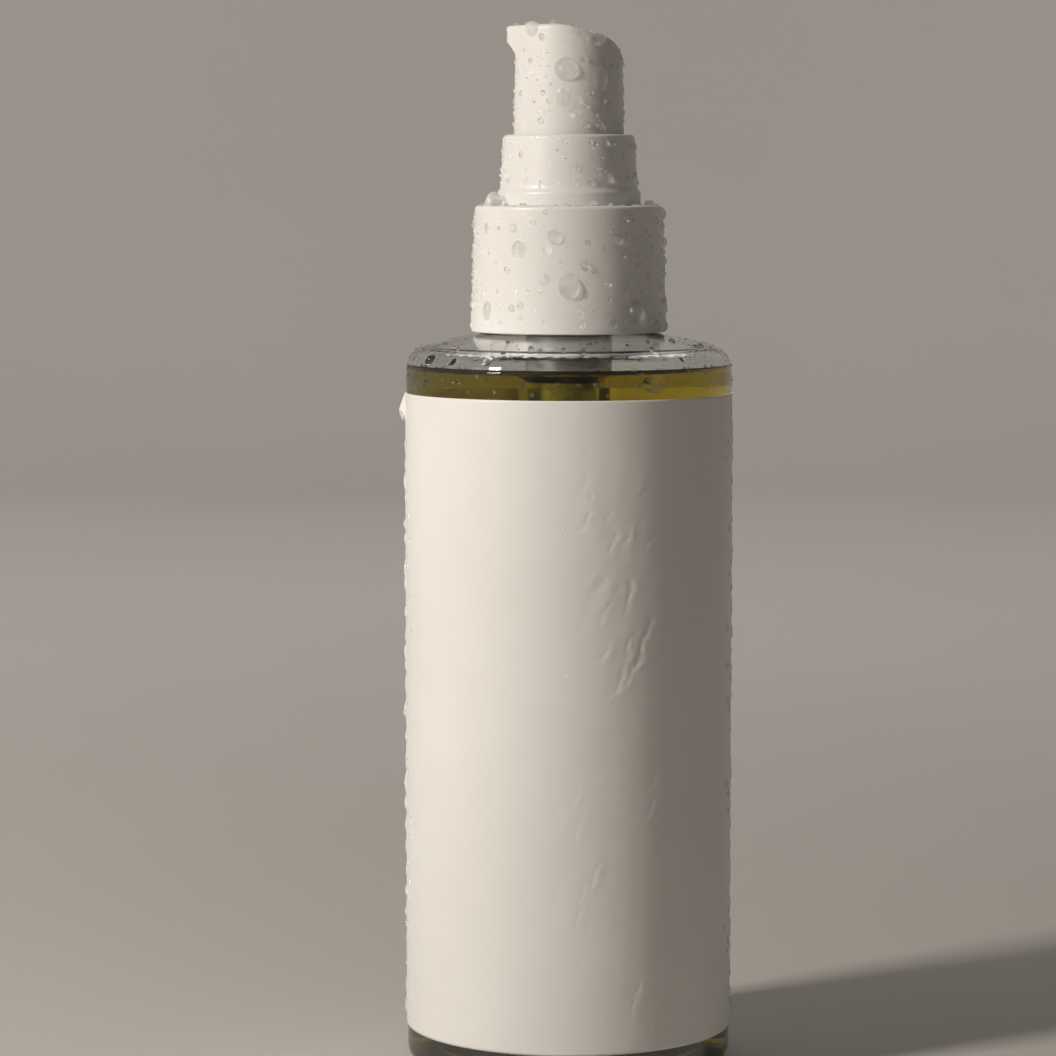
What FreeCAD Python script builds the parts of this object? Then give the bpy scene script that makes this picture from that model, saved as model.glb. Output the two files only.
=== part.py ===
import FreeCAD, Part
import Sketcher
import math
import os

V = FreeCAD.Vector

# Pump oil bottle: a clear cylindrical bottle with a wrap label, filled with oil,
# and a screw-on treatment pump (screw collar, guide sleeve, push-down actuator
# with a side spout, and the pump engine that hangs in the neck).
#
# Frame: millimetres, +Z up along the bottle's axis, origin at the centre of the
# resting ring. The label's front faces -Y and the spout points along -X.

doc = FreeCAD.newDocument("pump_oil_bottle")

# ---------------------------------------------------------------- dimensions
# Heights are measured from the table, radii from the bottle's axis.
ROWS = [
    # bottle
    ("bottle_rad", 22.9, "outer radius of the bottle body"),
    ("bottle_wall", 0.7, "side wall of the bottle"),
    ("base_wall", 0.9, "floor of the bottle"),
    ("rest_ring_rad", 17.3, "inner radius of the resting ring"),
    ("pushup_rad", 12.6, "radius of the flat part of the push-up"),
    ("pushup_high", 2.3, "height of the push-up under the floor"),
    ("heel_fillet", 3.0, "heel radius"),
    ("shoulder_edge_z", 101.7, "corner where side wall and shoulder would meet"),
    ("shoulder_slope", 0.227, "rise of the shoulder per mm towards the neck"),
    ("shoulder_fillet", 3.3, "shoulder radius"),
    ("shoulder_wall", 0.8, "thickness of the shoulder"),
    ("neck_rad", 10.75, "neck outside, at the thread root"),
    ("neck_bore_rad", 8.8, "neck bore"),
    ("neck_top_z", 118.2, "sealing land of the neck"),
    ("neck_root_fillet", 0.8, "fillet where the neck leaves the shoulder"),
    # thread of the neck finish
    ("thread_pitch", 3.175, "thread pitch, eight turns to the inch"),
    ("thread_turns", 1.5, "turns of thread"),
    ("thread_crest_rad", 11.85, "outside of the neck thread"),
    ("thread_start_z", 110.0, "middle of the neck thread at its start"),
    ("thread_root_half", 0.85, "half width of the neck thread at its root"),
    ("thread_crest_half", 0.40, "half width of the neck thread at its crest"),
    # label and oil
    ("label_thick", 0.1, "label film"),
    ("label_low_z", 6.0, "bottom edge of the label"),
    ("label_high", 89.75, "height of the label"),
    ("label_turn", 347.0, "degrees of the wall that the label covers"),
    ("oil_gap", 0.05, "gap between oil solid and bottle wall"),
    ("oil_level_z", 99.0, "surface of the oil"),
    ("oil_bore_rad", 2.6, "oil solid's bore round the dip tube"),
    ("oil_well_rad", 6.45, "oil solid's bore round the housing's tail"),
    ("oil_well_low_z", 87.6, "bottom of that bore"),
    # screw collar
    ("collar_low_z", 104.25, "lower edge of the screw collar"),
    ("collar_top_z", 121.88, "top of the screw collar"),
    ("collar_low_rad", 13.7, "outside radius at the lower edge"),
    ("collar_top_rad", 13.19, "outside radius at the top"),
    ("collar_bore_rad", 12.15, "inside wall of the collar"),
    ("collar_deck", 1.3, "thickness of the collar's top deck"),
    ("collar_hole_rad", 9.05, "hole in the deck"),
    ("collar_edge_fillet", 0.55, "rounding of the collar's top edge"),
    ("collar_thread_rad", 11.05, "crest of the collar's thread"),
    ("collar_thread_drop", 1.28, "how far the collar's thread lies under the neck's"),
    ("collar_root_half", 0.75, "half width of the collar's thread at the wall"),
    ("collar_crest_half", 0.40, "half width of the collar's thread at its crest"),
    # gasket
    ("gasket_rad", 11.3, "gasket outside"),
    ("gasket_bore_rad", 6.35, "gasket inside"),
    ("gasket_thick", 1.0, "gasket"),
    # pump housing
    ("flange_rad", 11.4, "flange of the housing"),
    ("flange_thick", 1.2, "thickness of the flange"),
    ("spigot_rad", 7.4, "spigot that the guide sleeve snaps on"),
    ("spigot_top_z", 121.5, "top of the spigot"),
    ("barrel_rad", 6.1, "outside of the pump barrel"),
    ("barrel_bore_rad", 4.5, "bore of the pump barrel"),
    ("barrel_floor_z", 100.0, "spring seat in the barrel"),
    ("tail_rad", 3.9, "outside of the valve chamber"),
    ("tail_low_rad", 3.3, "outside of the dip tube socket"),
    ("tail_low_z", 88.0, "lower end of the housing"),
    ("chamber_rad", 2.45, "ball chamber"),
    ("chamber_lip_rad", 1.85, "lip that keeps the ball in"),
    ("chamber_lip_thick", 0.6, "thickness of that lip"),
    ("throat_rad", 1.3, "inlet under the ball"),
    ("seat_low_z", 95.65, "lower end of the ball seat"),
    ("socket_top_z", 94.9, "end stop of the dip tube socket"),
    ("socket_rad", 2.3, "dip tube socket"),
    # chaplet, the bush that closes the barrel and guides the stem
    ("chaplet_flange_rad", 6.15, "flange of the chaplet"),
    ("chaplet_flange_thick", 1.4, "thickness of that flange"),
    ("chaplet_seat_z", 120.0, "seat of the flange in the housing"),
    ("chaplet_rad", 4.48, "plug of the chaplet"),
    ("chaplet_bore_rad", 3.08, "stem guide"),
    ("chaplet_low_z", 116.8, "lower end of the chaplet"),
    # guide sleeve
    ("sleeve_top_z", 131.72, "top of the guide sleeve"),
    ("sleeve_top_rad", 9.15, "outside at the top"),
    ("sleeve_low_rad", 9.62, "outside above the foot ring"),
    ("sleeve_bore_rad", 8.3, "inside of the guide sleeve"),
    ("foot_rad", 10.05, "foot ring, where an overcap clicks on"),
    ("foot_low_z", 121.91, "underside of the foot ring"),
    ("foot_high", 1.79, "height of the foot ring"),
    ("foot_slope", 0.55, "height of the cone above the foot ring"),
    ("web_low_z", 121.6, "underside of the sleeve's web"),
    ("web_thick", 0.9, "web"),
    ("web_hole_rad", 3.7, "hole in the web"),
    ("skirt_rad", 8.8, "skirt through the collar's deck"),
    ("skirt_bore_rad", 7.45, "inside of that skirt"),
    ("skirt_low_z", 120.45, "lower end of the skirt"),
    ("sleeve_edge_fillet", 0.5, "rounding of the sleeve's top edge"),
    # stem
    ("stem_rad", 3.0, "stem"),
    ("stem_bore_rad", 1.6, "bore of the stem"),
    ("stem_low_z", 113.7, "lower end of the stem"),
    ("stem_top_z", 137.8, "upper end of the stem"),
    ("shoulder_ring_rad", 3.6, "ring that pushes the piston and stops the stem"),
    ("shoulder_ring_low_z", 115.05, "underside of that ring"),
    ("shoulder_ring_top_z", 116.6, "top of that ring"),
    ("port_width", 1.2, "width of the inlet notches in the stem's end"),
    ("port_high", 0.45, "height of those notches"),
    # valve plug
    ("plug_flange_rad", 3.5, "spring cap of the valve plug"),
    ("plug_flange_low_z", 112.0, "underside of the spring cap"),
    ("plug_flange_thick", 1.0, "spring cap"),
    ("plug_seat_rad", 2.9, "upper radius of the valve cone"),
    ("plug_seat_high", 0.5, "height of the valve cone"),
    ("plug_pilot_rad", 2.45, "pilot inside the spring"),
    ("plug_pilot_low_z", 110.6, "lower end of the pilot"),
    ("plug_shank_rad", 1.55, "shank in the stem's bore"),
    ("plug_shank_top_z", 119.5, "upper end of the shank"),
    ("plug_flat", 1.05, "distance of the shank's flow flats from the axis"),
    # piston
    ("piston_rad", 4.46, "sealing lips of the piston"),
    ("piston_waist_rad", 4.30, "outside between the lips"),
    ("piston_ring_rad", 3.9, "inside of the outer ring"),
    ("piston_bore_rad", 3.06, "bore on the stem"),
    ("piston_low_z", 112.6, "lower lip"),
    ("piston_top_z", 115.6, "upper lip"),
    ("piston_web_low_z", 113.42, "underside of the web"),
    ("piston_web_top_z", 114.2, "top of the web"),
    # spring
    ("spring_rad", 3.0, "mean radius of the spring"),
    ("wire_rad", 0.3, "radius of the spring wire"),
    ("spring_turns", 6.0, "turns of the spring"),
    ("spring_gap", 0.04, "gap at each end of the spring"),
    # inlet ball and dip tube
    ("ball_rad", 2.0, "inlet ball"),
    ("ball_z", 97.221, "middle of the ball on its seat"),
    ("tube_rad", 2.28, "outside of the dip tube"),
    ("tube_bore_rad", 1.55, "inside of the dip tube"),
    ("tube_top_z", 94.7, "upper end of the dip tube"),
    ("tube_low_z", 4.7, "tip of the dip tube"),
    ("tube_cut", 3.2, "height of the slanted cut at the tip"),
    # actuator
    ("act_low_z", 130.4, "lower edge of the actuator"),
    ("act_low_rad", 7.71, "outside at the lower edge"),
    ("act_top_rad", 7.42, "outside at the top"),
    ("act_blank_z", 147.6, "top of the blank before the finger rest is cut"),
    ("act_wall_low_rad", 6.75, "inside at the lower edge"),
    ("act_wall_top_rad", 6.45, "inside at the top"),
    ("act_roof_z", 142.2, "underside of the roof"),
    ("hub_rad", 4.55, "hub that holds the stem"),
    ("hub_stop_z", 138.0, "end stop of the stem in the hub"),
    ("riser_rad", 1.5, "riser above the stem"),
    ("riser_top_z", 143.9, "top of the riser"),
    ("rest_top_z", 146.85, "flat at the spout"),
    ("rest_bend", 10.0, "soft bend where the finger rest begins to fall"),
    ("rest_bend_x", 2.23, "start of that bend, towards the spout"),
    ("rest_slope_x", 0.573, "end of that bend"),
    ("rest_slope_z", 146.449, "height there"),
    ("rest_round", 4.0, "rounding at the back of the finger rest"),
    ("rest_round_x", 4.681, "where that rounding begins"),
    ("rest_round_z", 145.25, "height there"),
    ("rest_end_x", 7.56, "where it runs out into the wall"),
    ("rest_end_z", 141.41, "height there"),
    ("rest_fillet", 0.55, "rounding of the rim of the finger rest"),
    ("dish_rad", 15.0, "radius of the dish in the finger rest"),
    ("dish_x", 1.3, "middle of the dish"),
    ("dish_low_z", 145.62, "lowest point of the dish"),
    ("spout_x", 8.8, "reach of the spout"),
    ("spout_tip_low_z", 144.75, "lower edge of the spout's tip"),
    ("spout_root_z", 141.0, "where the spout's underside joins the wall"),
    ("spout_root_x", 7.02, "reach of that point"),
    ("spout_tip_rad", 2.2, "rounding of the spout's tip, from above"),
    ("spout_tip_x", 8.34, "where the tip's rounding meets the flank"),
    ("spout_tip_half", 1.346, "half the width there"),
    ("spout_flank_x", 5.747, "where the flank runs into the wall"),
    ("spout_flank_half", 4.699, "half the width there"),
    ("spout_flank_z", 143.7, "lower end of the flank there"),
    ("spout_under_rad", 6.0, "hollow under the spout"),
    ("spout_low_z", 139.5, "lower end of the spout's blank"),
    ("spout_draft", -2.2, "draft of its sides, in degrees, drawing in downwards"),
    ("spout_bore_rad", 0.65, "outlet channel"),
    ("spout_bore_z", 143.2, "height of the channel at the axis"),
    ("spout_bore_tip_z", 145.75, "height of the channel at the tip"),
]

sheet = doc.addObject("Spreadsheet::Sheet", "Dims")
SIZE = {}
for i, (alias, value, words) in enumerate(ROWS, start=1):
    sheet.set("A%d" % i, words)
    sheet.set("B%d" % i, repr(value))
    sheet.setAlias("B%d" % i, alias)
    SIZE[alias] = value
doc.recompute()


class Q:
    """A number together with the sheet expression that gives it."""

    def __init__(self, v, e):
        self.v, self.e = v, e

    def __add__(self, o):
        o = q(o)
        return Q(self.v + o.v, "(%s + %s)" % (self.e, o.e))

    def __sub__(self, o):
        o = q(o)
        return Q(self.v - o.v, "(%s - %s)" % (self.e, o.e))

    def __mul__(self, o):
        o = q(o)
        return Q(self.v * o.v, "(%s * %s)" % (self.e, o.e))

    def __truediv__(self, o):
        o = q(o)
        return Q(self.v / o.v, "(%s / %s)" % (self.e, o.e))

    def __neg__(self):
        return Q(-self.v, "(-1 * %s)" % self.e)


def q(x):
    return x if isinstance(x, Q) else Q(float(x), repr(float(x)))


def d(name):
    return Q(SIZE[name], "Dims.%s" % name)


def new_body(label):
    b = doc.addObject("PartDesign::Body", label)
    b.Label = label
    return b


def plane(body, role):
    return [f for f in body.Origin.OriginFeatures if f.Role == role][0]


def sketch(body, name, pts, role="XZ_Plane"):
    """A closed outline through pts. An entry is (x, y), or (x, y, radius, side) when
    the edge from that point to the next is an arc that bulges to that side of its chord
    (+1 is the left as one walks along the outline)."""
    sk = body.newObject("Sketcher::SketchObject", name)
    sk.AttachmentSupport = [(plane(body, role), "")]
    sk.MapMode = "FlatFace"
    n = len(pts)
    xy = [(q(p[0]), q(p[1])) for p in pts]
    ends = []
    for i in range(n):
        a, b = xy[i], xy[(i + 1) % n]
        pa, pb = V(a[0].v, a[1].v, 0), V(b[0].v, b[1].v, 0)
        if len(pts[i]) == 2:
            sk.addGeometry(Part.LineSegment(pa, pb), False)
            ends.append((1, 2))
        else:
            r, side = q(pts[i][2]), pts[i][3]
            chord = pb - pa
            left = V(-chord.y, chord.x, 0)
            left.normalize()
            h = math.sqrt(r.v * r.v - chord.Length**2 / 4)
            c = (pa + pb) * 0.5 - left * (h * side)
            a0 = math.atan2(pa.y - c.y, pa.x - c.x)
            a1 = math.atan2(pb.y - c.y, pb.x - c.x)
            circle = Part.Circle(c, V(0, 0, 1), r.v)
            if side < 0:  # walked counter-clockwise
                sk.addGeometry(Part.ArcOfCircle(circle, a0, a1), False)
                ends.append((1, 2))
            else:
                sk.addGeometry(Part.ArcOfCircle(circle, a1, a0), False)
                ends.append((2, 1))
    for i in range(n):
        k = (i + 1) % n
        sk.addConstraint(
            Sketcher.Constraint("Coincident", i, ends[i][1], k, ends[k][0])
        )
    for i in range(n):
        if len(pts[i]) > 2:
            r = q(pts[i][2])
            c = sk.addConstraint(Sketcher.Constraint("Radius", i, r.v))
            sk.setExpression("Constraints[%d]" % c, r.e)
        for kind, axis, val in (
            ("DistanceX", -2, xy[i][0]),
            ("DistanceY", -1, xy[i][1]),
        ):
            if abs(val.v) < 1e-9:
                sk.addConstraint(
                    Sketcher.Constraint("PointOnObject", i, ends[i][0], axis)
                )
            elif val.v > 0:
                c = sk.addConstraint(
                    Sketcher.Constraint(kind, -1, 1, i, ends[i][0], val.v)
                )
                sk.setExpression("Constraints[%d]" % c, val.e)
            else:
                c = sk.addConstraint(
                    Sketcher.Constraint(kind, i, ends[i][0], -1, 1, -val.v)
                )
                sk.setExpression("Constraints[%d]" % c, (-val).e)
    sk.Visibility = False
    return sk


def revolve(body, name, pts, angle=None):
    sk = sketch(body, name + "_outline", pts)
    f = body.newObject("PartDesign::Revolution", name)
    f.Profile = sk
    f.ReferenceAxis = (sk, ["V_Axis"])
    f.Angle = 360.0
    if angle is not None:
        f.setExpression("Angle", angle.e)
    doc.recompute()
    return f


def groove(body, name, pts):
    sk = sketch(body, name + "_outline", pts)
    f = body.newObject("PartDesign::Groove", name)
    f.Profile = sk
    f.ReferenceAxis = (sk, ["V_Axis"])
    f.Angle = 360.0
    doc.recompute()
    return f


def rings(feature, *wanted):
    """Names of the round edges about the axis with these (radius, height) pairs."""
    found = []
    for r, z in wanted:
        r, z = q(r).v, q(z).v
        hit = None
        for i, e in enumerate(feature.Shape.Edges, start=1):
            c = e.Curve
            if not isinstance(c, Part.Circle):
                continue
            if abs(c.Radius - r) < 0.02 and abs(c.Center.z - z) < 0.02:
                hit = "Edge%d" % i
        if hit is None:
            raise RuntimeError("no ring edge at r %.3f z %.3f" % (r, z))
        found.append(hit)
    return found


def fillet(body, name, base, edges, radius):
    f = body.newObject("PartDesign::Fillet", name)
    f.Base = (base, edges)
    f.Radius = radius.v
    f.setExpression("Radius", radius.e)
    doc.recompute()
    return f


def helix(body, name, pts, pitch, turns):
    sk = sketch(body, name + "_outline", pts)
    doc.recompute()
    f = body.newObject("PartDesign::AdditiveHelix", name)
    f.Profile = sk
    f.ReferenceAxis = (sk, ["V_Axis"])
    f.Mode = 1  # pitch and turns
    f.Pitch = pitch.v
    f.Turns = turns.v
    f.setExpression("Pitch", pitch.e)
    f.setExpression("Turns", turns.e)
    f.Angle = 0
    f.LeftHanded = False
    f.Reversed = False
    doc.recompute()
    return f


PARTS = []

# ------------------------------------------------------------------- bottle
# Blown clear bottle: push-up base, straight wall, low sloping shoulder, and a
# threaded neck. The inside follows the outside at the wall's thickness.
R, W = d("bottle_rad"), d("bottle_wall")
ri = R - W


def shoulder_out(r):
    return d("shoulder_edge_z") + (R - r) * d("shoulder_slope")


def shoulder_in(r):
    return shoulder_out(r) - d("shoulder_wall")


nr, nb, nt = d("neck_rad"), d("neck_bore_rad"), d("neck_top_z")
pr, ph, rr, bw = d("pushup_rad"), d("pushup_high"), d("rest_ring_rad"), d("base_wall")
bottle = new_body("bottle")
PARTS.append(bottle)
f = revolve(
    bottle,
    "bottle_shell",
    [
        (0, ph),
        (pr, ph),
        (rr, 0),
        (R, 0),
        (R, d("shoulder_edge_z")),
        (nr, shoulder_out(nr)),
        (nr, nt),
        (nb, nt),
        (nb, shoulder_in(nb)),
        (ri, shoulder_in(ri)),
        (ri, bw),
        (rr + 0.3, bw),
        (pr + 0.3, ph + bw),
        (0, ph + bw),
    ],
)
f = fillet(bottle, "heel", f, rings(f, (R, 0)), d("heel_fillet"))
f = fillet(
    bottle, "heel_inside", f, rings(f, (ri, bw)), d("heel_fillet") - d("bottle_wall")
)
f = fillet(
    bottle,
    "shoulder_round",
    f,
    rings(f, (R, d("shoulder_edge_z"))),
    d("shoulder_fillet"),
)
f = fillet(
    bottle,
    "shoulder_round_inside",
    f,
    rings(f, (ri, shoulder_in(ri))),
    d("shoulder_fillet") - d("bottle_wall"),
)
f = fillet(
    bottle,
    "neck_root",
    f,
    rings(f, (nr, shoulder_out(nr))),
    d("neck_root_fillet"),
)
f = fillet(
    bottle,
    "bore_mouth_inside",
    f,
    rings(f, (nb, shoulder_in(nb))),
    d("neck_root_fillet"),
)
f = fillet(bottle, "neck_lip", f, rings(f, (nr, nt), (nb, nt)), q(0.3))
f = fillet(
    bottle,
    "pushup_round",
    f,
    rings(f, (pr, ph), (pr + 0.3, ph + bw), (rr + 0.3, bw)),
    q(1.2),
)
ts, tr, tc = d("thread_start_z"), d("thread_root_half"), d("thread_crest_half")
f = helix(
    bottle,
    "neck_thread",
    [
        (nr - 0.35, ts - tr),
        (nr, ts - tr),
        (d("thread_crest_rad"), ts - tc),
        (d("thread_crest_rad"), ts + tc),
        (nr, ts + tr),
        (nr - 0.35, ts + tr),
    ],
    d("thread_pitch"),
    d("thread_turns"),
)

# -------------------------------------------------------------------- label
# One film label round the wall, with a narrow gap at the back (+Y).
label = new_body("label")
PARTS.append(label)
zl = d("label_low_z")
f = revolve(
    label,
    "label_film",
    [
        (R, zl),
        (R + d("label_thick"), zl),
        (R + d("label_thick"), zl + d("label_high")),
        (R, zl + d("label_high")),
    ],
    angle=d("label_turn"),
)
label.Placement = FreeCAD.Placement(
    V(0, 0, 0), FreeCAD.Rotation(V(0, 0, 1), 270 - SIZE["label_turn"] / 2)
)
label.setExpression("Placement.Rotation.Angle", "270 - Dims.label_turn / 2")

# ---------------------------------------------------------------------- oil
# The filling, up to just above the label, bored where the dip tube and the tail
# of the pump stand in it.
oil = new_body("oil")
PARTS.append(oil)
og = d("oil_gap")
f = revolve(
    oil,
    "oil_fill",
    [
        (d("oil_bore_rad"), ph + bw + og),
        (pr + 0.3, ph + bw + og),
        (rr + 0.3, bw + og),
        (ri - og, bw + og),
        (ri - og, d("oil_level_z")),
        (d("oil_well_rad"), d("oil_level_z")),
        (d("oil_well_rad"), d("oil_well_low_z")),
        (d("oil_bore_rad"), d("oil_well_low_z")),
    ],
)
f = fillet(
    oil,
    "oil_heel",
    f,
    rings(f, (ri - og, bw + og)),
    d("heel_fillet") - d("bottle_wall") + og,
)
f = fillet(
    oil,
    "oil_floor",
    f,
    rings(f, (pr + 0.3, ph + bw + og)),
    q(1.6),
)

# ------------------------------------------------------------- screw collar
# Smooth tapered collar with a deck that the pump hangs from, threaded inside.
collar = new_body("screw_collar")
PARTS.append(collar)
cz, ct = d("collar_low_z"), d("collar_top_z")
cb, deck = d("collar_bore_rad"), d("collar_deck")
f = revolve(
    collar,
    "collar_shell",
    [
        (cb, cz),
        (d("collar_low_rad"), cz),
        (d("collar_top_rad"), ct),
        (d("collar_hole_rad"), ct),
        (d("collar_hole_rad"), ct - deck),
        (cb, ct - deck),
    ],
)
f = fillet(
    collar,
    "collar_top_edge",
    f,
    rings(f, (d("collar_top_rad"), ct)),
    d("collar_edge_fillet"),
)
f = fillet(
    collar,
    "collar_low_edge",
    f,
    rings(f, (d("collar_low_rad"), cz), (cb, cz)),
    q(0.25),
)
cs = ts - d("collar_thread_drop")
cr, cc = d("collar_root_half"), d("collar_crest_half")
f = helix(
    collar,
    "collar_thread",
    [
        (cb + 0.3, cs - cr),
        (cb, cs - cr),
        (d("collar_thread_rad"), cs - cc),
        (d("collar_thread_rad"), cs + cc),
        (cb, cs + cr),
        (cb + 0.3, cs + cr),
    ],
    d("thread_pitch"),
    d("thread_turns"),
)

# ------------------------------------------------------------------- gasket
gasket = new_body("neck_gasket")
PARTS.append(gasket)
gt = nt + d("gasket_thick")
f = revolve(
    gasket,
    "gasket_ring",
    [
        (d("gasket_bore_rad"), nt),
        (d("gasket_rad"), nt),
        (d("gasket_rad"), gt),
        (d("gasket_bore_rad"), gt),
    ],
)

# ------------------------------------------------------------- pump housing
# Flange on the gasket, barrel with the spring seat, ball chamber with its cone
# seat and retaining lip, and the socket for the dip tube.
housing = new_body("pump_housing")
PARTS.append(housing)
ft = gt + d("flange_thick")
bore, floor = d("barrel_bore_rad"), d("barrel_floor_z")
lip_low = floor - d("chamber_lip_thick")
seat = d("seat_low_z")
cone_top = seat + d("chamber_rad") - d("throat_rad")
f = revolve(
    housing,
    "housing_wall",
    [
        (d("barrel_rad"), gt),
        (d("flange_rad"), gt),
        (d("flange_rad"), ft),
        (d("spigot_rad"), ft),
        (d("spigot_rad"), d("spigot_top_z")),
        (d("chaplet_flange_rad") + 0.05, d("spigot_top_z")),
        (d("chaplet_flange_rad") + 0.05, d("chaplet_seat_z")),
        (bore, d("chaplet_seat_z")),
        (bore, floor),
        (d("chamber_lip_rad"), floor),
        (d("chamber_lip_rad"), lip_low),
        (d("chamber_rad"), lip_low),
        (d("chamber_rad"), cone_top),
        (d("throat_rad"), seat),
        (d("throat_rad"), d("socket_top_z")),
        (d("socket_rad"), d("socket_top_z")),
        (d("socket_rad"), d("tail_low_z")),
        (d("tail_low_rad"), d("tail_low_z")),
        (d("tail_rad"), seat - 1.6),
        (d("tail_rad"), floor - 2.6),
        (d("barrel_rad"), floor - 0.8),
    ],
)

# ------------------------------------------------------------------ chaplet
chaplet = new_body("chaplet")
PARTS.append(chaplet)
zc = d("chaplet_seat_z")
f = revolve(
    chaplet,
    "chaplet_bush",
    [
        (d("chaplet_bore_rad"), d("chaplet_low_z")),
        (d("chaplet_rad"), d("chaplet_low_z")),
        (d("chaplet_rad"), zc),
        (d("chaplet_flange_rad"), zc),
        (d("chaplet_flange_rad"), zc + d("chaplet_flange_thick")),
        (d("chaplet_bore_rad"), zc + d("chaplet_flange_thick")),
    ],
)

# ------------------------------------------------------------- guide sleeve
# The middle step of the pump: the actuator sinks into it. A skirt goes down
# through the collar's deck to the housing, and the foot ring sits on the deck.
sleeve = new_body("guide_sleeve")
PARTS.append(sleeve)
st, fz = d("sleeve_top_z"), d("foot_low_z")
foot_top = fz + d("foot_high")
wl = d("web_low_z")
wt = wl + d("web_thick")
f = revolve(
    sleeve,
    "sleeve_wall",
    [
        (d("skirt_bore_rad"), d("skirt_low_z")),
        (d("skirt_rad"), d("skirt_low_z")),
        (d("skirt_rad"), fz),
        (d("foot_rad"), fz),
        (d("foot_rad"), foot_top),
        (d("sleeve_low_rad"), foot_top + d("foot_slope")),
        (d("sleeve_top_rad"), st),
        (d("sleeve_bore_rad"), st),
        (d("sleeve_bore_rad"), wt),
        (d("web_hole_rad"), wt),
        (d("web_hole_rad"), wl),
        (d("skirt_bore_rad"), wl),
    ],
)
f = fillet(
    sleeve,
    "sleeve_top_edge",
    f,
    rings(f, (d("sleeve_top_rad"), st)),
    d("sleeve_edge_fillet"),
)
f = fillet(
    sleeve,
    "sleeve_mouth_edge",
    f,
    rings(f, (d("sleeve_bore_rad"), st)),
    q(0.2),
)
f = fillet(
    sleeve,
    "foot_flare",
    f,
    rings(f, (d("sleeve_low_rad"), foot_top + d("foot_slope"))),
    q(1.4),
)
f = fillet(
    sleeve,
    "foot_edge",
    f,
    rings(f, (d("foot_rad"), foot_top)),
    q(0.5),
)

# ------------------------------------------------------------------- spring
# Compression spring in the barrel, between the spring seat and the valve plug.
wire, sg = SIZE["wire_rad"], SIZE["spring_gap"]
s_low = SIZE["barrel_floor_z"] + sg + wire
s_top = SIZE["plug_flange_low_z"] - sg - wire
coil = doc.addObject("Part::Helix", "spring_line")
coil.Radius = SIZE["spring_rad"]
coil.Pitch = (s_top - s_low) / SIZE["spring_turns"]
coil.Height = s_top - s_low
coil.setExpression("Radius", "Dims.spring_rad")
coil.setExpression(
    "Height",
    "Dims.plug_flange_low_z - Dims.barrel_floor_z - 2 * Dims.spring_gap - 2 * Dims.wire_rad",
)
coil.setExpression(
    "Pitch",
    "(Dims.plug_flange_low_z - Dims.barrel_floor_z - 2 * Dims.spring_gap - 2 * Dims.wire_rad) / Dims.spring_turns",
)
section = doc.addObject("Part::Circle", "spring_section")
section.Radius = wire
section.setExpression("Radius", "Dims.wire_rad")
section.Placement = FreeCAD.Placement(
    V(SIZE["spring_rad"], 0, 0), FreeCAD.Rotation(V(1, 0, 0), 90)
)
section.setExpression("Placement.Base.x", "Dims.spring_rad")
doc.recompute()
spring = doc.addObject("Part::Sweep", "return_spring")
spring.Label = "return_spring"
spring.Sections = [section]
spring.Spine = (coil, ["Edge1"])
spring.Solid = True
spring.Frenet = True
spring.Placement = FreeCAD.Placement(V(0, 0, s_low), FreeCAD.Rotation())
spring.setExpression(
    "Placement.Base.z", "Dims.barrel_floor_z + Dims.spring_gap + Dims.wire_rad"
)
doc.recompute()
PARTS.append(spring)

# --------------------------------------------------------------- inlet ball
ball = doc.addObject("Part::Sphere", "inlet_ball")
ball.Label = "inlet_ball"
ball.Radius = SIZE["ball_rad"]
ball.setExpression("Radius", "Dims.ball_rad")
ball.Placement = FreeCAD.Placement(V(0, 0, SIZE["ball_z"]), FreeCAD.Rotation())
ball.setExpression("Placement.Base.z", "Dims.ball_z")
PARTS.append(ball)

# ----------------------------------------------------------------- dip tube
# Straight tube from the housing's socket to the floor, cut on a slant at its tip.
tube = new_body("dip_tube")
PARTS.append(tube)
tz = d("tube_low_z")
f = revolve(
    tube,
    "tube_wall",
    [
        (d("tube_bore_rad"), tz),
        (d("tube_rad"), tz),
        (d("tube_rad"), d("tube_top_z")),
        (d("tube_bore_rad"), d("tube_top_z")),
    ],
)
cut = sketch(
    tube,
    "tube_tip_cut",
    [
        (-(d("tube_rad") + 0.5), tz - 1.0),
        (d("tube_rad") + 0.5, tz - 1.0),
        (d("tube_rad") + 0.5, tz + d("tube_cut")),
        (-(d("tube_rad") - 0.3), tz),
        (-(d("tube_rad") + 0.5), tz),
    ],
)
p = tube.newObject("PartDesign::Pocket", "tube_tip")
p.Profile = cut
p.Type = 1
p.Midplane = True
doc.recompute()

# --------------------------------------------------------------------- stem
# Hollow stem: pressed into the actuator above, with the ring that pushes the
# piston, and inlet notches at its lower end.
stem = new_body("pump_stem")
PARTS.append(stem)
sl = d("stem_low_z")
f = revolve(
    stem,
    "stem_wall",
    [
        (d("stem_bore_rad"), sl),
        (d("stem_rad"), sl),
        (d("stem_rad"), d("shoulder_ring_low_z")),
        (d("shoulder_ring_rad"), d("shoulder_ring_low_z")),
        (d("shoulder_ring_rad"), d("shoulder_ring_top_z")),
        (d("stem_rad"), d("shoulder_ring_top_z")),
        (d("stem_rad"), d("stem_top_z")),
        (d("stem_bore_rad"), d("stem_top_z")),
    ],
)
notch = sketch(
    stem,
    "stem_notch",
    [
        (-(d("port_width") / 2), sl - 0.5),
        (d("port_width") / 2, sl - 0.5),
        (d("port_width") / 2, sl + d("port_high")),
        (-(d("port_width") / 2), sl + d("port_high")),
    ],
)
p = stem.newObject("PartDesign::Pocket", "stem_ports")
p.Profile = notch
p.Type = 1
p.Midplane = True
doc.recompute()
pat = stem.newObject("PartDesign::PolarPattern", "stem_ports_round")
pat.Originals = [p]
pat.Axis = (notch, ["V_Axis"])
pat.Angle = 360
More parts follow.
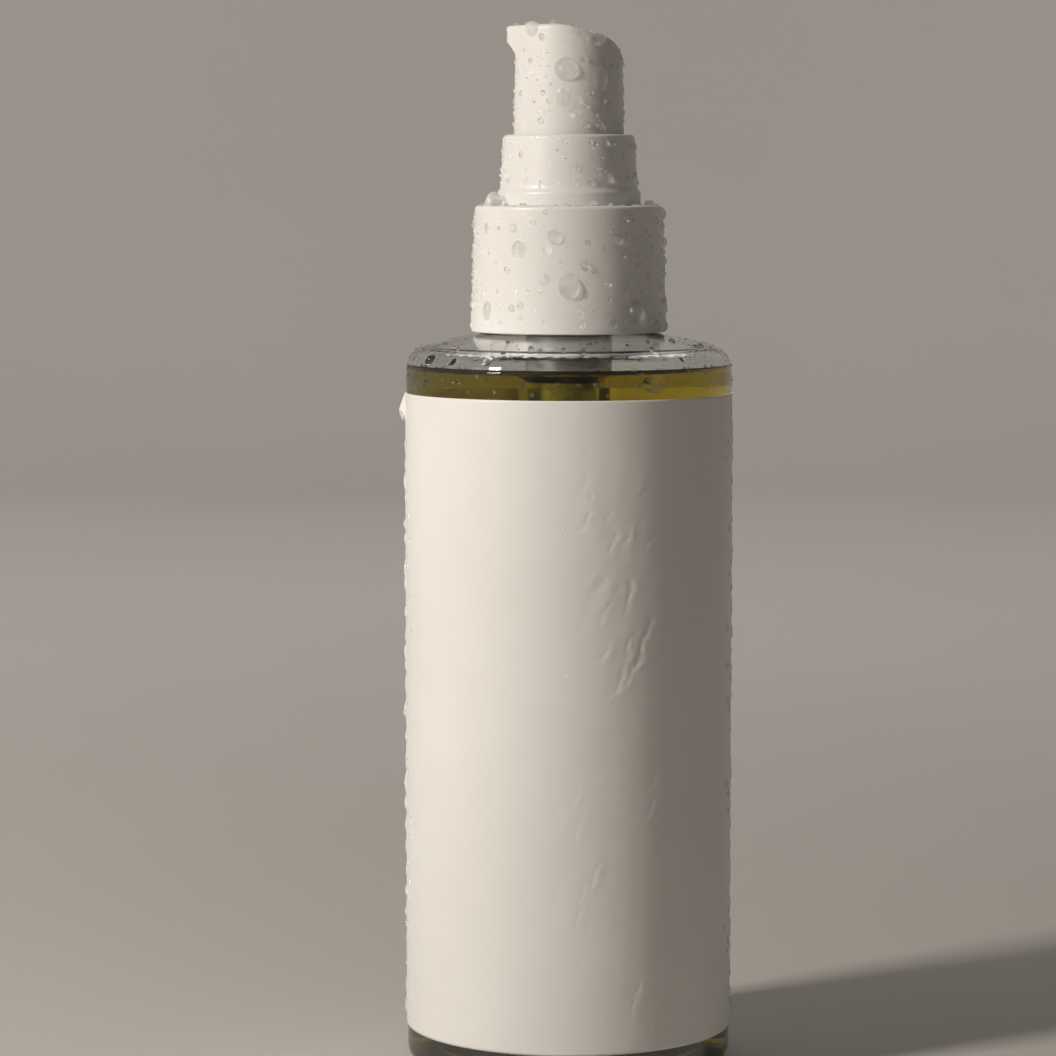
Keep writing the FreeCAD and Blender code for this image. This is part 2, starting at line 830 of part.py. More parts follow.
pat.Occurrences = 4
stem.Tip = pat
doc.recompute()

# --------------------------------------------------------------- valve plug
# Spring cap below, valve cone for the piston, and a fluted shank that sits in the
# stem's bore.
plug = new_body("valve_plug")
PARTS.append(plug)
pz = d("plug_flange_low_z")
pt = pz + d("plug_flange_thick")
f = revolve(
    plug,
    "plug_core",
    [
        (0, d("plug_pilot_low_z")),
        (d("plug_pilot_rad") - 0.3, d("plug_pilot_low_z")),
        (d("plug_pilot_rad"), d("plug_pilot_low_z") + 0.3),
        (d("plug_pilot_rad"), pz),
        (d("plug_flange_rad"), pz),
        (d("plug_flange_rad"), pt),
        (d("plug_seat_rad"), pt + d("plug_seat_high")),
        (d("plug_shank_rad"), pt + d("plug_seat_high")),
        (d("plug_shank_rad"), d("plug_shank_top_z")),
        (0, d("plug_shank_top_z")),
    ],
)
flat = sketch(
    plug,
    "plug_flow_flat",
    [
        (d("plug_flat"), pt + d("plug_seat_high")),
        (d("plug_shank_rad") + 0.6, pt + d("plug_seat_high")),
        (d("plug_shank_rad") + 0.6, d("plug_shank_top_z") + 0.5),
        (d("plug_flat"), d("plug_shank_top_z") + 0.5),
    ],
)
p = plug.newObject("PartDesign::Pocket", "plug_flow")
p.Profile = flat
p.Type = 1
p.Midplane = True
doc.recompute()
pat = plug.newObject("PartDesign::PolarPattern", "plug_flow_round")
pat.Originals = [p]
pat.Axis = (flat, ["V_Axis"])
pat.Angle = 360
pat.Occurrences = 3
plug.Tip = pat
doc.recompute()

# ------------------------------------------------------------------- piston
# Soft ring that slides in the barrel on two lips and floats on the stem.
piston = new_body("piston_seal")
PARTS.append(piston)
f = revolve(
    piston,
    "piston_ring",
    [
        (d("piston_bore_rad"), d("piston_web_low_z")),
        (d("piston_ring_rad"), d("piston_web_low_z")),
        (d("piston_ring_rad") + 0.2, d("piston_low_z")),
        (d("piston_rad"), d("piston_low_z")),
        (d("piston_rad"), d("piston_low_z") + 0.35),
        (d("piston_waist_rad"), d("piston_web_low_z")),
        (d("piston_waist_rad"), d("piston_web_top_z") + 0.4),
        (d("piston_rad"), d("piston_top_z") - 0.35),
        (d("piston_rad"), d("piston_top_z")),
        (d("piston_ring_rad") + 0.2, d("piston_top_z")),
        (d("piston_ring_rad"), d("piston_web_top_z")),
        (d("piston_bore_rad"), d("piston_web_top_z")),
    ],
)

# ----------------------------------------------------------------- actuator
# Push-down head: tapered shell with an inner hub for the stem, a flat at the
# spout that falls away to a dished finger rest, and a short beak of a spout.
act = new_body("actuator")
PARTS.append(act)
az = d("act_low_z")
sx, tx, fx = d("spout_x"), d("spout_tip_x"), d("spout_flank_x")
th, fh = d("spout_tip_half"), d("spout_flank_half")
# From above, the spout's flanks run into the round wall without a step, and
# they draw in towards the bottom, so that their lower ends die out in the wall.
plan = sketch(
    act,
    "spout_plan",
    [
        (-fx, -fh),
        (-tx, -th, d("spout_tip_rad"), +1),
        (-tx, th),
        (-fx, fh),
    ],
    "XY_Plane",
)
plan.AttachmentOffset = FreeCAD.Placement(
    V(0, 0, SIZE["act_blank_z"]), FreeCAD.Rotation()
)
plan.setExpression("AttachmentOffset.Base.z", "Dims.act_blank_z")
doc.recompute()
p = act.newObject("PartDesign::Pad", "spout_block")
p.Profile = plan
p.Length = SIZE["act_blank_z"] - SIZE["spout_low_z"]
p.setExpression("Length", "Dims.act_blank_z - Dims.spout_low_z")
p.Reversed = True
p.TaperAngle = SIZE["spout_draft"]
p.setExpression("TaperAngle", "Dims.spout_draft")
doc.recompute()
under = sketch(
    act,
    "spout_underside",
    [
        (-(sx + 1.0), d("spout_low_z") - 1.0),
        (-(sx + 1.0), d("spout_tip_low_z")),
        (-sx, d("spout_tip_low_z"), d("spout_under_rad"), +1),
        (-(d("spout_root_x")), d("spout_root_z")),
        (-fx, d("spout_flank_z")),
        (-(fx - 0.5), d("spout_flank_z")),
        (-(fx - 0.5), d("spout_low_z") - 1.0),
    ],
)
p = act.newObject("PartDesign::Pocket", "spout_hollow")
p.Profile = under
p.Type = 1
p.Midplane = True
doc.recompute()
f = revolve(
    act,
    "act_shell",
    [
        (0, d("act_blank_z")),
        (0, d("riser_top_z")),
        (d("riser_rad"), d("riser_top_z")),
        (d("riser_rad"), d("hub_stop_z")),
        (d("stem_rad"), d("hub_stop_z")),
        (d("stem_rad"), az),
        (d("hub_rad"), az),
        (d("hub_rad"), d("act_roof_z")),
        (d("act_wall_top_rad"), d("act_roof_z")),
        (d("act_wall_low_rad"), az),
        (d("act_low_rad"), az),
        (d("act_top_rad"), d("act_blank_z")),
    ],
)
rest = sketch(
    act,
    "finger_rest_line",
    [
        (-(d("spout_x") + 1.5), d("act_blank_z") + 1.5),
        (-(d("spout_x") + 1.5), d("rest_top_z")),
        (-(d("rest_bend_x")), d("rest_top_z"), d("rest_bend"), +1),
        (d("rest_slope_x"), d("rest_slope_z")),
        (d("rest_round_x"), d("rest_round_z"), d("rest_round"), +1),
        (d("rest_end_x"), d("rest_end_z")),
        (d("rest_end_x") + 1.0, d("rest_end_z")),
        (d("rest_end_x") + 1.0, d("act_blank_z") + 1.5),
    ],
)
p = act.newObject("PartDesign::Pocket", "finger_rest")
p.Profile = rest
p.Type = 1
p.Midplane = True
doc.recompute()


def is_top(face):
    """Faces of the finger rest: the flat, the bend, the slope, the rounding at the back."""
    s, b = face.Surface, face.BoundBox
    if b.ZMax < SIZE["rest_round_z"] - 0.05:
        return False
    if isinstance(s, Part.Plane):
        u0, u1, v0, v1 = face.ParameterRange
        return face.normalAt((u0 + u1) / 2, (v0 + v1) / 2).z > 0.9
    return isinstance(s, Part.Cylinder) and abs(s.Axis.y) > 0.9


rim = []
for i, e in enumerate(p.Shape.Edges, start=1):
    sides = p.Shape.ancestorsOfType(e, Part.Face)
    if len(sides) == 2 and is_top(sides[0]) != is_top(sides[1]):
        rim.append("Edge%d" % i)
f = fillet(act, "rim_round", p, rim, d("rest_fillet"))
dish = act.newObject("PartDesign::SubtractiveSphere", "finger_dish")
dish.Radius = SIZE["dish_rad"]
dish.setExpression("Radius", "Dims.dish_rad")
dish.Placement = FreeCAD.Placement(
    V(SIZE["dish_x"], 0, SIZE["dish_low_z"] + SIZE["dish_rad"]), FreeCAD.Rotation()
)
dish.setExpression("Placement.Base.x", "Dims.dish_x")
dish.setExpression("Placement.Base.z", "Dims.dish_low_z + Dims.dish_rad")
doc.recompute()
rise = math.atan2(
    SIZE["spout_bore_tip_z"] - SIZE["spout_bore_z"], SIZE["spout_x"]
)
run = act.newObject("PartDesign::SubtractiveCylinder", "spout_channel")
run.Radius = SIZE["spout_bore_rad"]
run.setExpression("Radius", "Dims.spout_bore_rad")
run.Height = SIZE["spout_x"] + 2.0
run.setExpression("Height", "Dims.spout_x + 2")
run.Placement = FreeCAD.Placement(
    V(0, 0, SIZE["spout_bore_z"]),
    FreeCAD.Rotation(V(0, 0, 1), V(-math.cos(rise), 0, math.sin(rise))),
)
run.setExpression("Placement.Base.z", "Dims.spout_bore_z")
doc.recompute()

# -------------------------------------------------------------------- write
os.makedirs("parts", exist_ok=True)
bad = [o.Name for o in doc.Objects if "Invalid" in o.State or "Error" in o.State]
for o in PARTS:
    s = o.Shape
    ok = not s.isNull() and s.isValid() and len(s.Solids) > 0
    print(
        o.Label,
        "ok" if ok else "BAD",
        len(s.Solids),
        "solids",
        round(s.Volume, 2),
        "mm3",
        [round(x, 2) for x in (s.BoundBox.ZMin, s.BoundBox.ZMax, s.BoundBox.XMin, s.BoundBox.XMax)],
    )
    if not ok:
        bad.append(o.Label)
if bad:
    raise RuntimeError("failed: %s" % bad)
for o in PARTS:
    o.Shape.exportStep("parts/%s.step" % o.Label)
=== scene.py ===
import math
import random

import bpy
import numpy as np
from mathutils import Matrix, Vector
from mathutils.bvhtree import BVHTree


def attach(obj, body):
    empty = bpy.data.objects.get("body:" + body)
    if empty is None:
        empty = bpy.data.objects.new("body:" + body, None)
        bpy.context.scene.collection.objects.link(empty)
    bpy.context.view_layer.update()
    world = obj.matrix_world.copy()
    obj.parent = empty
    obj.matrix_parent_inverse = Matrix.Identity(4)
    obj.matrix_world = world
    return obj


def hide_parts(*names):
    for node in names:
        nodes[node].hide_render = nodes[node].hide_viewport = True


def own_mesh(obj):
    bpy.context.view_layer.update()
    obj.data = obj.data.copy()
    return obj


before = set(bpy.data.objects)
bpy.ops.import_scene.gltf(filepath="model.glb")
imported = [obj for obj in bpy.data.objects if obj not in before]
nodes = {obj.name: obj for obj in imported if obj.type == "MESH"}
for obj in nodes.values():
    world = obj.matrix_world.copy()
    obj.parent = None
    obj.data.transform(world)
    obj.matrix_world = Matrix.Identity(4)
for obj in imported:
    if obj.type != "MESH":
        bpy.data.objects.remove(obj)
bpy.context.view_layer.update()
scene = bpy.context.scene
MM = 0.001


def link(obj):
    scene.collection.objects.link(obj)
    return obj


# ------------------------------------------------------------------ camera
# Slightly above the bottle, looking down by about five degrees, with a long lens.
PITCH = math.radians(5.211)
EYE = Vector((-0.005733, -0.5239, 0.12428))
LENS, SENSOR, SIDE = 126.98, 36.0, 1056.0
F_PX = LENS / SENSOR * SIDE

cam_data = bpy.data.cameras.new("camera")
cam_data.lens = LENS
cam_data.sensor_width = SENSOR
cam_data.sensor_fit = "HORIZONTAL"
cam_data.clip_start = 0.01
cam_data.clip_end = 20.0
camera = link(bpy.data.objects.new("camera", cam_data))
camera.location = EYE
camera.rotation_euler = (math.pi / 2 - PITCH, 0.0, 0.0)
scene.camera = camera


def sight(px, py):
    """Direction from the eye through a point of the picture."""
    fwd = Vector((0.0, math.cos(PITCH), -math.sin(PITCH)))
    up = Vector((0.0, math.sin(PITCH), math.cos(PITCH)))
    d = fwd + Vector((1.0, 0.0, 0.0)) * ((px - SIDE / 2) / F_PX) - up * ((py - SIDE / 2) / F_PX)
    return d.normalized()


def spot(p):
    """Where a point falls in the picture."""
    rel = p - EYE
    fwd = Vector((0.0, math.cos(PITCH), -math.sin(PITCH)))
    up = Vector((0.0, math.sin(PITCH), math.cos(PITCH)))
    k = F_PX / rel.dot(fwd)
    return SIDE / 2 + rel.x * k, SIDE / 2 - rel.dot(up) * k


# --------------------------------------------------------------- materials
class Shade:
    """One node material, with the few kinds of node that the finishes here are made of."""

    def __init__(self, name):
        self.mat = bpy.data.materials.new(name)
        self.mat.use_nodes = True
        self.tree = self.mat.node_tree
        self.tree.nodes.clear()
        self.out = self.add("ShaderNodeOutputMaterial")
        self.place = self.add("ShaderNodeTexCoord").outputs["Object"]

    def add(self, kind, values=None, **props):
        n = self.tree.nodes.new(kind)
        for k, v in props.items():
            setattr(n, k, v)
        for k, v in (values or {}).items():
            if isinstance(v, bpy.types.NodeSocket):
                self.tree.links.new(v, n.inputs[k])
            else:
                n.inputs[k].default_value = v
        return n

    def stretched(self, sx, sy, sz):
        return self.add("ShaderNodeMapping", {"Vector": self.place, "Scale": (sx, sy, sz)}).outputs["Vector"]

    def noise(self, scale, detail=2.0, rough=0.5, at=None, twist=0.0):
        return self.add("ShaderNodeTexNoise", {
            "Vector": at or self.place, "Scale": scale, "Detail": detail, "Roughness": rough, "Distortion": twist,
        }).outputs["Fac"]

    def ramp(self, fac, low, high, at_low=0.3, at_high=0.7):
        n = self.add("ShaderNodeValToRGB", {"Fac": fac})
        e = n.color_ramp.elements
        e[0].position, e[0].color = at_low, (*low, 1.0)
        e[1].position, e[1].color = at_high, (*high, 1.0)
        return n.outputs["Color"]

    def remap(self, fac, low, high, f0=0.3, f1=0.7):
        return self.add("ShaderNodeMapRange", {
            "Value": fac, "From Min": f0, "From Max": f1, "To Min": low, "To Max": high,
        }).outputs["Result"]

    def bump(self, height, distance, strength=1.0, under=None):
        values = {"Height": height, "Distance": distance, "Strength": strength}
        if under is not None:
            values["Normal"] = under
        return self.add("ShaderNodeBump", values).outputs["Normal"]

    def skin(self, **values):
        named = {k.replace("_", " "): v for k, v in values.items()}
        return self.add("ShaderNodeBsdfPrincipled", named)

    def show(self, shader):
        self.tree.links.new(shader.outputs[0], self.out.inputs["Surface"])
        return self.mat

    def show_clear(self, shader, through):
        """A clear body: lamps shine through it, tinted a little."""
        lit = self.add("ShaderNodeBsdfTransparent", {"Color": through})
        path = self.add("ShaderNodeLightPath").outputs["Is Shadow Ray"]
        mix = self.add("ShaderNodeMixShader", {0: path})
        self.tree.links.new(shader.outputs[0], mix.inputs[1])
        self.tree.links.new(lit.outputs[0], mix.inputs[2])
        self.tree.links.new(mix.outputs[0], self.out.inputs["Surface"])
        return self.mat


def moulded_white(name, tone, rough, shift):
    """Opaque white polypropylene from a polished mould: faint flow clouds, soft orange peel, fine grain."""
    s = Shade(name)
    clouds = s.noise(70.0 + shift, 3.0, 0.55)
    peel = s.noise(1150.0 + 20 * shift, 2.0, 0.45)
    grain = s.noise(9000.0, 1.0, 0.5)
    colour = s.ramp(clouds, [c * 0.965 for c in tone], tone)
    normal = s.bump(peel, 1.1e-5, 0.55)
    normal = s.bump(grain, 2.0e-6, 0.5, normal)
    return s.show(s.skin(
        Base_Color=colour, Roughness=s.remap(peel, rough - 0.05, rough + 0.06), Normal=normal, IOR=1.49,
        Subsurface_Weight=0.18, Subsurface_Radius=(1.0, 0.86, 0.7), Subsurface_Scale=0.0009,
    ))


def milky(name, tone, rough, clear):
    """Uncoloured polypropylene or polyethylene: milky, letting some light through."""
    s = Shade(name)
    clouds = s.noise(160.0, 3.0, 0.6)
    drawn = s.noise(420.0, 2.0, 0.5, at=s.stretched(1.0, 1.0, 0.12))
    colour = s.ramp(clouds, [c * 0.93 for c in tone], tone)
    return s.show(s.skin(
        Base_Color=colour, Roughness=s.remap(drawn, rough - 0.07, rough + 0.08), Normal=s.bump(drawn, 8e-6, 0.5),
        IOR=1.5, Transmission_Weight=clear, Subsurface_Weight=0.25, Subsurface_Radius=(1.0, 0.95, 0.85),
        Subsurface_Scale=0.001,
    ))


def foam(name):
    s = Shade(name)
    cells = s.add("ShaderNodeTexVoronoi", {"Vector": s.place, "Scale": 5200.0}).outputs["Distance"]
    blotch = s.noise(300.0, 3.0)
    return s.show(s.skin(
        Base_Color=s.ramp(blotch, (0.76, 0.76, 0.73), (0.86, 0.86, 0.84)), Roughness=s.remap(cells, 0.7, 0.9, 0.0, 0.8),
        Normal=s.bump(cells, 4e-5, 0.7), IOR=1.45,
    ))


def drawn_steel(name, rough):
    s = Shade(name)
    lines = s.noise(2600.0, 3.0, 0.6, at=s.stretched(1.0, 1.0, 0.2))
    return s.show(s.skin(
        Base_Color=s.ramp(lines, (0.50, 0.50, 0.51), (0.66, 0.66, 0.67)), Metallic=1.0,
        Roughness=s.remap(lines, rough - 0.06, rough + 0.1), Normal=s.bump(lines, 3e-6, 0.5),
    ))


def label_film(name):
    """White satin film, with a very fine tooth and faint vertical drying marks."""
    s = Shade(name)
    clouds = s.noise(38.0, 4.0, 0.6)
    runs = s.noise(230.0, 3.0, 0.6, at=s.stretched(1.0, 1.0, 0.1))
    tooth = s.noise(5200.0, 2.0, 0.6)
    tone = s.ramp(clouds, (0.815, 0.805, 0.785), (0.865, 0.858, 0.842))
    normal = s.bump(runs, 1.6e-5, 0.35)
    normal = s.bump(tooth, 3.0e-6, 0.6, normal)
    return s.show(s.skin(
        Base_Color=tone, Roughness=s.remap(runs, 0.38, 0.52), Normal=normal, IOR=1.5,
    ))


def clear_pet(name):
    """Blown PET: water-clear and glossy, with the slow waviness of a blown wall."""
    s = Shade(name)
    wave = s.noise(95.0, 2.0, 0.45)
    haze = s.noise(420.0, 3.0, 0.6)
    skin = s.skin(
        Base_Color=s.ramp(haze, (0.965, 0.975, 0.96), (0.99, 0.995, 0.985)), Roughness=s.remap(haze, 0.0, 0.03),
        Normal=s.bump(wave, 5.0e-5, 0.35), IOR=1.57, Transmission_Weight=1.0,
    )
    return s.show_clear(skin, (0.94, 0.95, 0.93, 1.0))


def oil_liquid(name):
    """Clear yellow-green oil: the depth of liquid gives the colour."""
    s = Shade(name)
    haze = s.noise(240.0, 2.0)
    skin = s.skin(
        Base_Color=s.ramp(haze, (0.985, 0.98, 0.93), (1.0, 1.0, 0.97)), Roughness=s.remap(haze, 0.0, 0.012),
        IOR=1.47, Transmission_Weight=1.0,
    )
    depth = s.add("ShaderNodeVolumeAbsorption", {"Color": (0.80, 0.74, 0.05, 1.0), "Density": 110.0})
    s.tree.links.new(depth.outputs["Volume"], s.out.inputs["Volume"])
    return s.show_clear(skin, (0.97, 0.97, 0.95, 1.0))


def water(name, front, back, body=1.0):
    """Clear water. A lamp lights what lies under a bead, and a bead throws a soft shadow beside it."""
    s = Shade(name)
    haze = s.noise(900.0, 1.0)
    skin = s.skin(
        Base_Color=s.ramp(haze, (0.985, 0.99, 0.99), (1.0, 1.0, 1.0)), Roughness=s.remap(haze, 0.277, 0.295),
        IOR=1.333, Transmission_Weight=1.0, Alpha=body,
    )
    inside = s.add("ShaderNodeNewGeometry").outputs["Backfacing"]
    return s.show_clear(skin, s.ramp(inside, (front,) * 3, (back,) * 3, 0.0, 1.0))


def water_on_clear(name):
    """Water on the clear wall: nothing white lies under it, so it shows what is behind, with a bright glint."""
    s = Shade(name)
    haze = s.noise(900.0, 1.0)
    skin = s.skin(
        Base_Color=s.ramp(haze, (0.975, 0.98, 0.98), (1.0, 1.0, 1.0)), Roughness=s.remap(haze, 0.01, 0.05),
        IOR=1.333, Transmission_Weight=1.0, Coat_Weight=1.0, Coat_Roughness=0.2, Coat_IOR=1.4,
    )
    return s.show_clear(skin, (0.86, 0.86, 0.85, 1.0))


def label_reverse_painted_shade(name):
    """The glued side of the film, seen through the oil: coloured greyer than the outer side as painted shade for the
    dim light inside the bottle, with a mottle of glue.
    """
    s = Shade(name)
    mottle = s.noise(520.0, 3.0, 0.6)
    return s.show(s.skin(
        # painted shade: the grey base colour stands for the dim light inside the bottle; only the mottle is the glue's
        # own
        Base_Color=s.ramp(mottle, (0.30, 0.295, 0.27), (0.37, 0.365, 0.335)), Roughness=s.remap(mottle, 0.5, 0.66),
        Normal=s.bump(mottle, 1.0e-5, 0.4), IOR=1.48,
    ))


def paper_sweep(name):
    s = Shade(name)
    clouds = s.noise(3.0, 3.0)
    tooth = s.noise(1400.0, 2.0)
    return s.show(s.skin(
        Base_Color=s.ramp(clouds, (0.55, 0.525, 0.495), (0.58, 0.555, 0.525)), Roughness=s.remap(tooth, 0.75, 0.9),
        Normal=s.bump(tooth, 2e-5, 0.2), IOR=1.4,
    ))


finish = {
    "bottle": clear_pet("clear_pet"),
    "screw_collar": moulded_white("white_pp_collar", (0.825, 0.818, 0.802), 0.36, 1.0),
    "guide_sleeve": moulded_white("white_pp_sleeve", (0.815, 0.808, 0.792), 0.36, 4.0),
    "actuator": moulded_white("white_pp_actuator", (0.800, 0.792, 0.776), 0.36, 7.0),
    "pump_stem": milky("natural_pp_stem", (0.80, 0.81, 0.80), 0.34, 0.15),
    # painted shade: the housing is toned darker than the other natural parts to stand for the shade it sits in inside
    # the bottle
    "pump_housing": milky("natural_pp_housing_painted_shade", (0.57, 0.565, 0.53), 0.20, 0.80),
    "chaplet": milky("natural_pp_chaplet", (0.79, 0.80, 0.79), 0.36, 0.15),
    "valve_plug": milky("natural_pp_plug", (0.78, 0.79, 0.78), 0.36, 0.15),
    "piston_seal": milky("natural_pe_seal", (0.84, 0.84, 0.82), 0.45, 0.1),
    "dip_tube": milky("tube_pe", (0.82, 0.83, 0.81), 0.30, 0.55),
    "neck_gasket": foam("gasket_foam"),
    "return_spring": drawn_steel("stainless_wire", 0.28),
    "inlet_ball": drawn_steel("stainless_ball", 0.12),
}
label_mat = label_film("label_film")
oil_mat = oil_liquid("oil")
water_mat = water("water_beads", 0.80, 0.36)
spray_mat = water("water_spray", 0.93, 0.72, 0.62)
wall_water_mat = water_on_clear("water_beads_wall")
finish["label"] = label_mat
finish["oil"] = oil_mat
for name, node in nodes.items():
    node.data.materials.clear()
    node.data.materials.append(finish[name])


# ------------------------------------------------------------- mesh making
def piece(name, verts, faces, mat, smooth=None):
    mesh = bpy.data.meshes.new(name)
    mesh.from_pydata([tuple(v) for v in verts], [], faces)
    mesh.polygons.foreach_set("use_smooth", [True] * len(mesh.polygons) if smooth is None else smooth)
    mesh.materials.append(mat)
    mesh.update()
    return link(bpy.data.objects.new(name, mesh))


def lathe(name, profile, turns, mat, crease=30.0):
    """A ring turned from a closed outline of (radius, height) points in mm."""
    n = len(profile)
    verts = [
        (r * MM * math.cos(2 * math.pi * k / turns), r * MM * math.sin(2 * math.pi * k / turns), z * MM)
        for k in range(turns) for r, z in profile
    ]
    faces = [
        (k * n + i, (k + 1) % turns * n + i, (k + 1) % turns * n + (i + 1) % n, k * n + (i + 1) % n)
        for k in range(turns) for i in range(n)
    ]
    obj = piece(name, verts, faces, mat)
    obj.data.set_sharp_from_angle(angle=math.radians(crease))
    return obj


# --------------------------------------------------------------------- oil
# The liquid wets the wall, so its skin stands a tenth of a millimetre inside the PET; it climbs a little at
# the wall and at the pump, and leaves a hair of room round the pump's tail and tube.
def arc(cx, cz, r, a0, a1, steps):
    return [(cx + r * math.cos(math.radians(a0 + (a1 - a0) * i / steps)),
             cz + r * math.sin(math.radians(a0 + (a1 - a0) * i / steps))) for i in range(steps + 1)]


outline = [(2.34, 3.1), (8.0, 3.1), (12.7, 3.1), (15.2, 1.9), (17.5, 0.8), (19.9, 0.8)]
outline += arc(19.9, 3.2, 2.4, -90, 0, 8)[1:]
outline += [(22.3, z) for z in (6.0, 20.0, 40.0, 60.0, 80.0, 95.0, 98.5, 99.7)]
outline += [(22.12, 99.46), (21.85, 99.27), (21.45, 99.13), (20.9, 99.05), (20.0, 99.01), (18.0, 99.0), (13.0, 99.0),
            (8.4, 99.0), (7.4, 99.03), (6.8, 99.12), (6.4, 99.28), (6.17, 99.5)]
outline += [(6.15, 99.25), (3.97, 97.42), (3.97, 94.1), (3.37, 87.95), (2.34, 87.9), (2.34, 60.0), (2.34, 30.0)]
oil = lathe("oil_fill", outline, 144, oil_mat)
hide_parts("oil")
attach(oil, "bottle")


# ----------------------------------------------------------- return spring
# Six turns of wire between the barrel's floor and the valve plug; the real spring shortens as the pump is pressed, but
# this coil is built at one fixed length.
COIL_RAD, WIRE_RAD, COIL_LOW, COIL_HIGH, COIL_TURNS = 3.0, 0.3, 100.34, 111.66, 6
steps, ring = 48 * COIL_TURNS, 12
verts, faces = [], []
for i in range(steps + 1):
    a = 2 * math.pi * COIL_TURNS * i / steps
    out = Vector((math.cos(a), math.sin(a), 0.0))
    climb = (COIL_HIGH - COIL_LOW) / (2 * math.pi * COIL_TURNS)
    along = Vector((-COIL_RAD * math.sin(a), COIL_RAD * math.cos(a), climb)).normalized()
    up = along.cross(out)
    centre = out * COIL_RAD + Vector((0.0, 0.0, COIL_LOW + climb * a))
    for j in range(ring):
        b = 2 * math.pi * j / ring
        verts.append((centre + (out * math.cos(b) + up * math.sin(b)) * WIRE_RAD) * MM)
for i in range(steps):
    for j in range(ring):
        faces.append((i * ring + j, i * ring + (j + 1) % ring, (i + 1) * ring + (j + 1) % ring, (i + 1) * ring + j))
faces.append(tuple(reversed(range(ring))))
faces.append(tuple(range(steps * ring, (steps + 1) * ring)))
coil = piece("spring_coil", verts, faces, finish["return_spring"])
coil.data.set_sharp_from_angle(angle=math.radians(40))
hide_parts("return_spring")
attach(coil, "pump_engine")
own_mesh(coil)


# ------------------------------------------------------------------- label
# A wrap label with a gap at the back. It got wet: shallow runs pucker the film on the front, mostly to the right.
LABEL_R, LABEL_IN = 23.0, 22.85
LABEL_Z0, LABEL_Z1 = 6.0, 95.75
LABEL_HALF = 173.5


def on_label(px, py):
    """Where a point of the picture falls on the label, as (distance round the front, height) in mm."""
    d = sight(px, py)
    o = EYE / MM
    a = d.x * d.x + d.y * d.y
    b = o.x * d.x + o.y * d.y
    c = o.x * o.x + o.y * o.y - LABEL_R ** 2
    t = (-b - math.sqrt(max(b * b - a * c, 0.0))) / a
    p = o + d * t
    return LABEL_R * math.atan2(p.x, -p.y), p.z


RUNS = [  # (width mm, depth mm, points)
    (0.42, 0.035, [(566.8, 416.6), (579.5, 412.1)]),
    (0.38, 0.045, [(587, 455), (591, 448)]),
    (0.48, 0.090, [(577, 530.7), (584.6, 525.6), (589.7, 514.8)]),
    (0.40, 0.060, [(589, 502), (591, 492)]),
    (0.42, 0.070, [(606, 522), (611, 513)]),
    (0.46, 0.080, [(609, 550), (616.5, 537)]),
    (0.42, 0.075, [(621.6, 543), (630.6, 536.5)]),
    (0.38, 0.060, [(642, 495), (649.7, 491)]),
    (0.44, 0.075, [(645.9, 546.7), (657, 532.7)]),
    (0.44, 0.075, [(596, 590), (605, 579.8)]),
    (0.42, 0.070, [(608.9, 593.9), (619, 590)]),
    (0.46, 0.085, [(628, 600.8), (631.8, 583.7)]),
    (0.46, 0.085, [(600, 621), (609, 604.6)]),
    (0.38, 0.060, [(624, 613.6), (628, 608.5)]),
    (0.60, 0.130, [(652, 621), (644.6, 634), (640.8, 649), (637, 665.9)]),
    (0.48, 0.090, [(626.7, 657), (629, 639), (635.7, 635)]),
    (0.42, 0.070, [(602.5, 658), (608.9, 648)]),
    (0.46, 0.085, [(617.8, 687.6), (622.9, 668.4), (625.5, 665.9)]),
    (0.44, 0.075, [(628, 682), (631.8, 667)]),
    (0.42, 0.060, [(611, 695), (617.8, 688.8)]),
    (0.44, 0.070, [(646.9, 790), (657, 780)]),
    (0.44, 0.070, [(647.9, 814.6), (652.9, 802.5)]),
    (0.38, 0.060, [(659, 806.5), (664, 814.6)]),
    (0.42, 0.055, [(572, 804.5), (580, 790)]),
    (0.36, 0.045, [(576, 841), (577, 833)]),
    (0.46, 0.075, [(590, 887), (598.5, 867), (604.5, 861)]),
    (0.38, 0.050, [(578, 901), (583, 893)]),
    (0.44, 0.065, [(576, 925.5), (580, 907)]),
    (0.38, 0.055, [(600.5, 921.5), (606.5, 917)]),
    (0.48, 0.080, [(632.7, 1012), (633.8, 996), (640.8, 987)]),
    (0.38, 0.060, [(638.8, 1000), (644.8, 990)]),
    (0.38, 0.050, [(578, 998), (585, 992)]),
    (0.38, 0.050, [(648.9, 1032), (651.9, 1022)]),
]

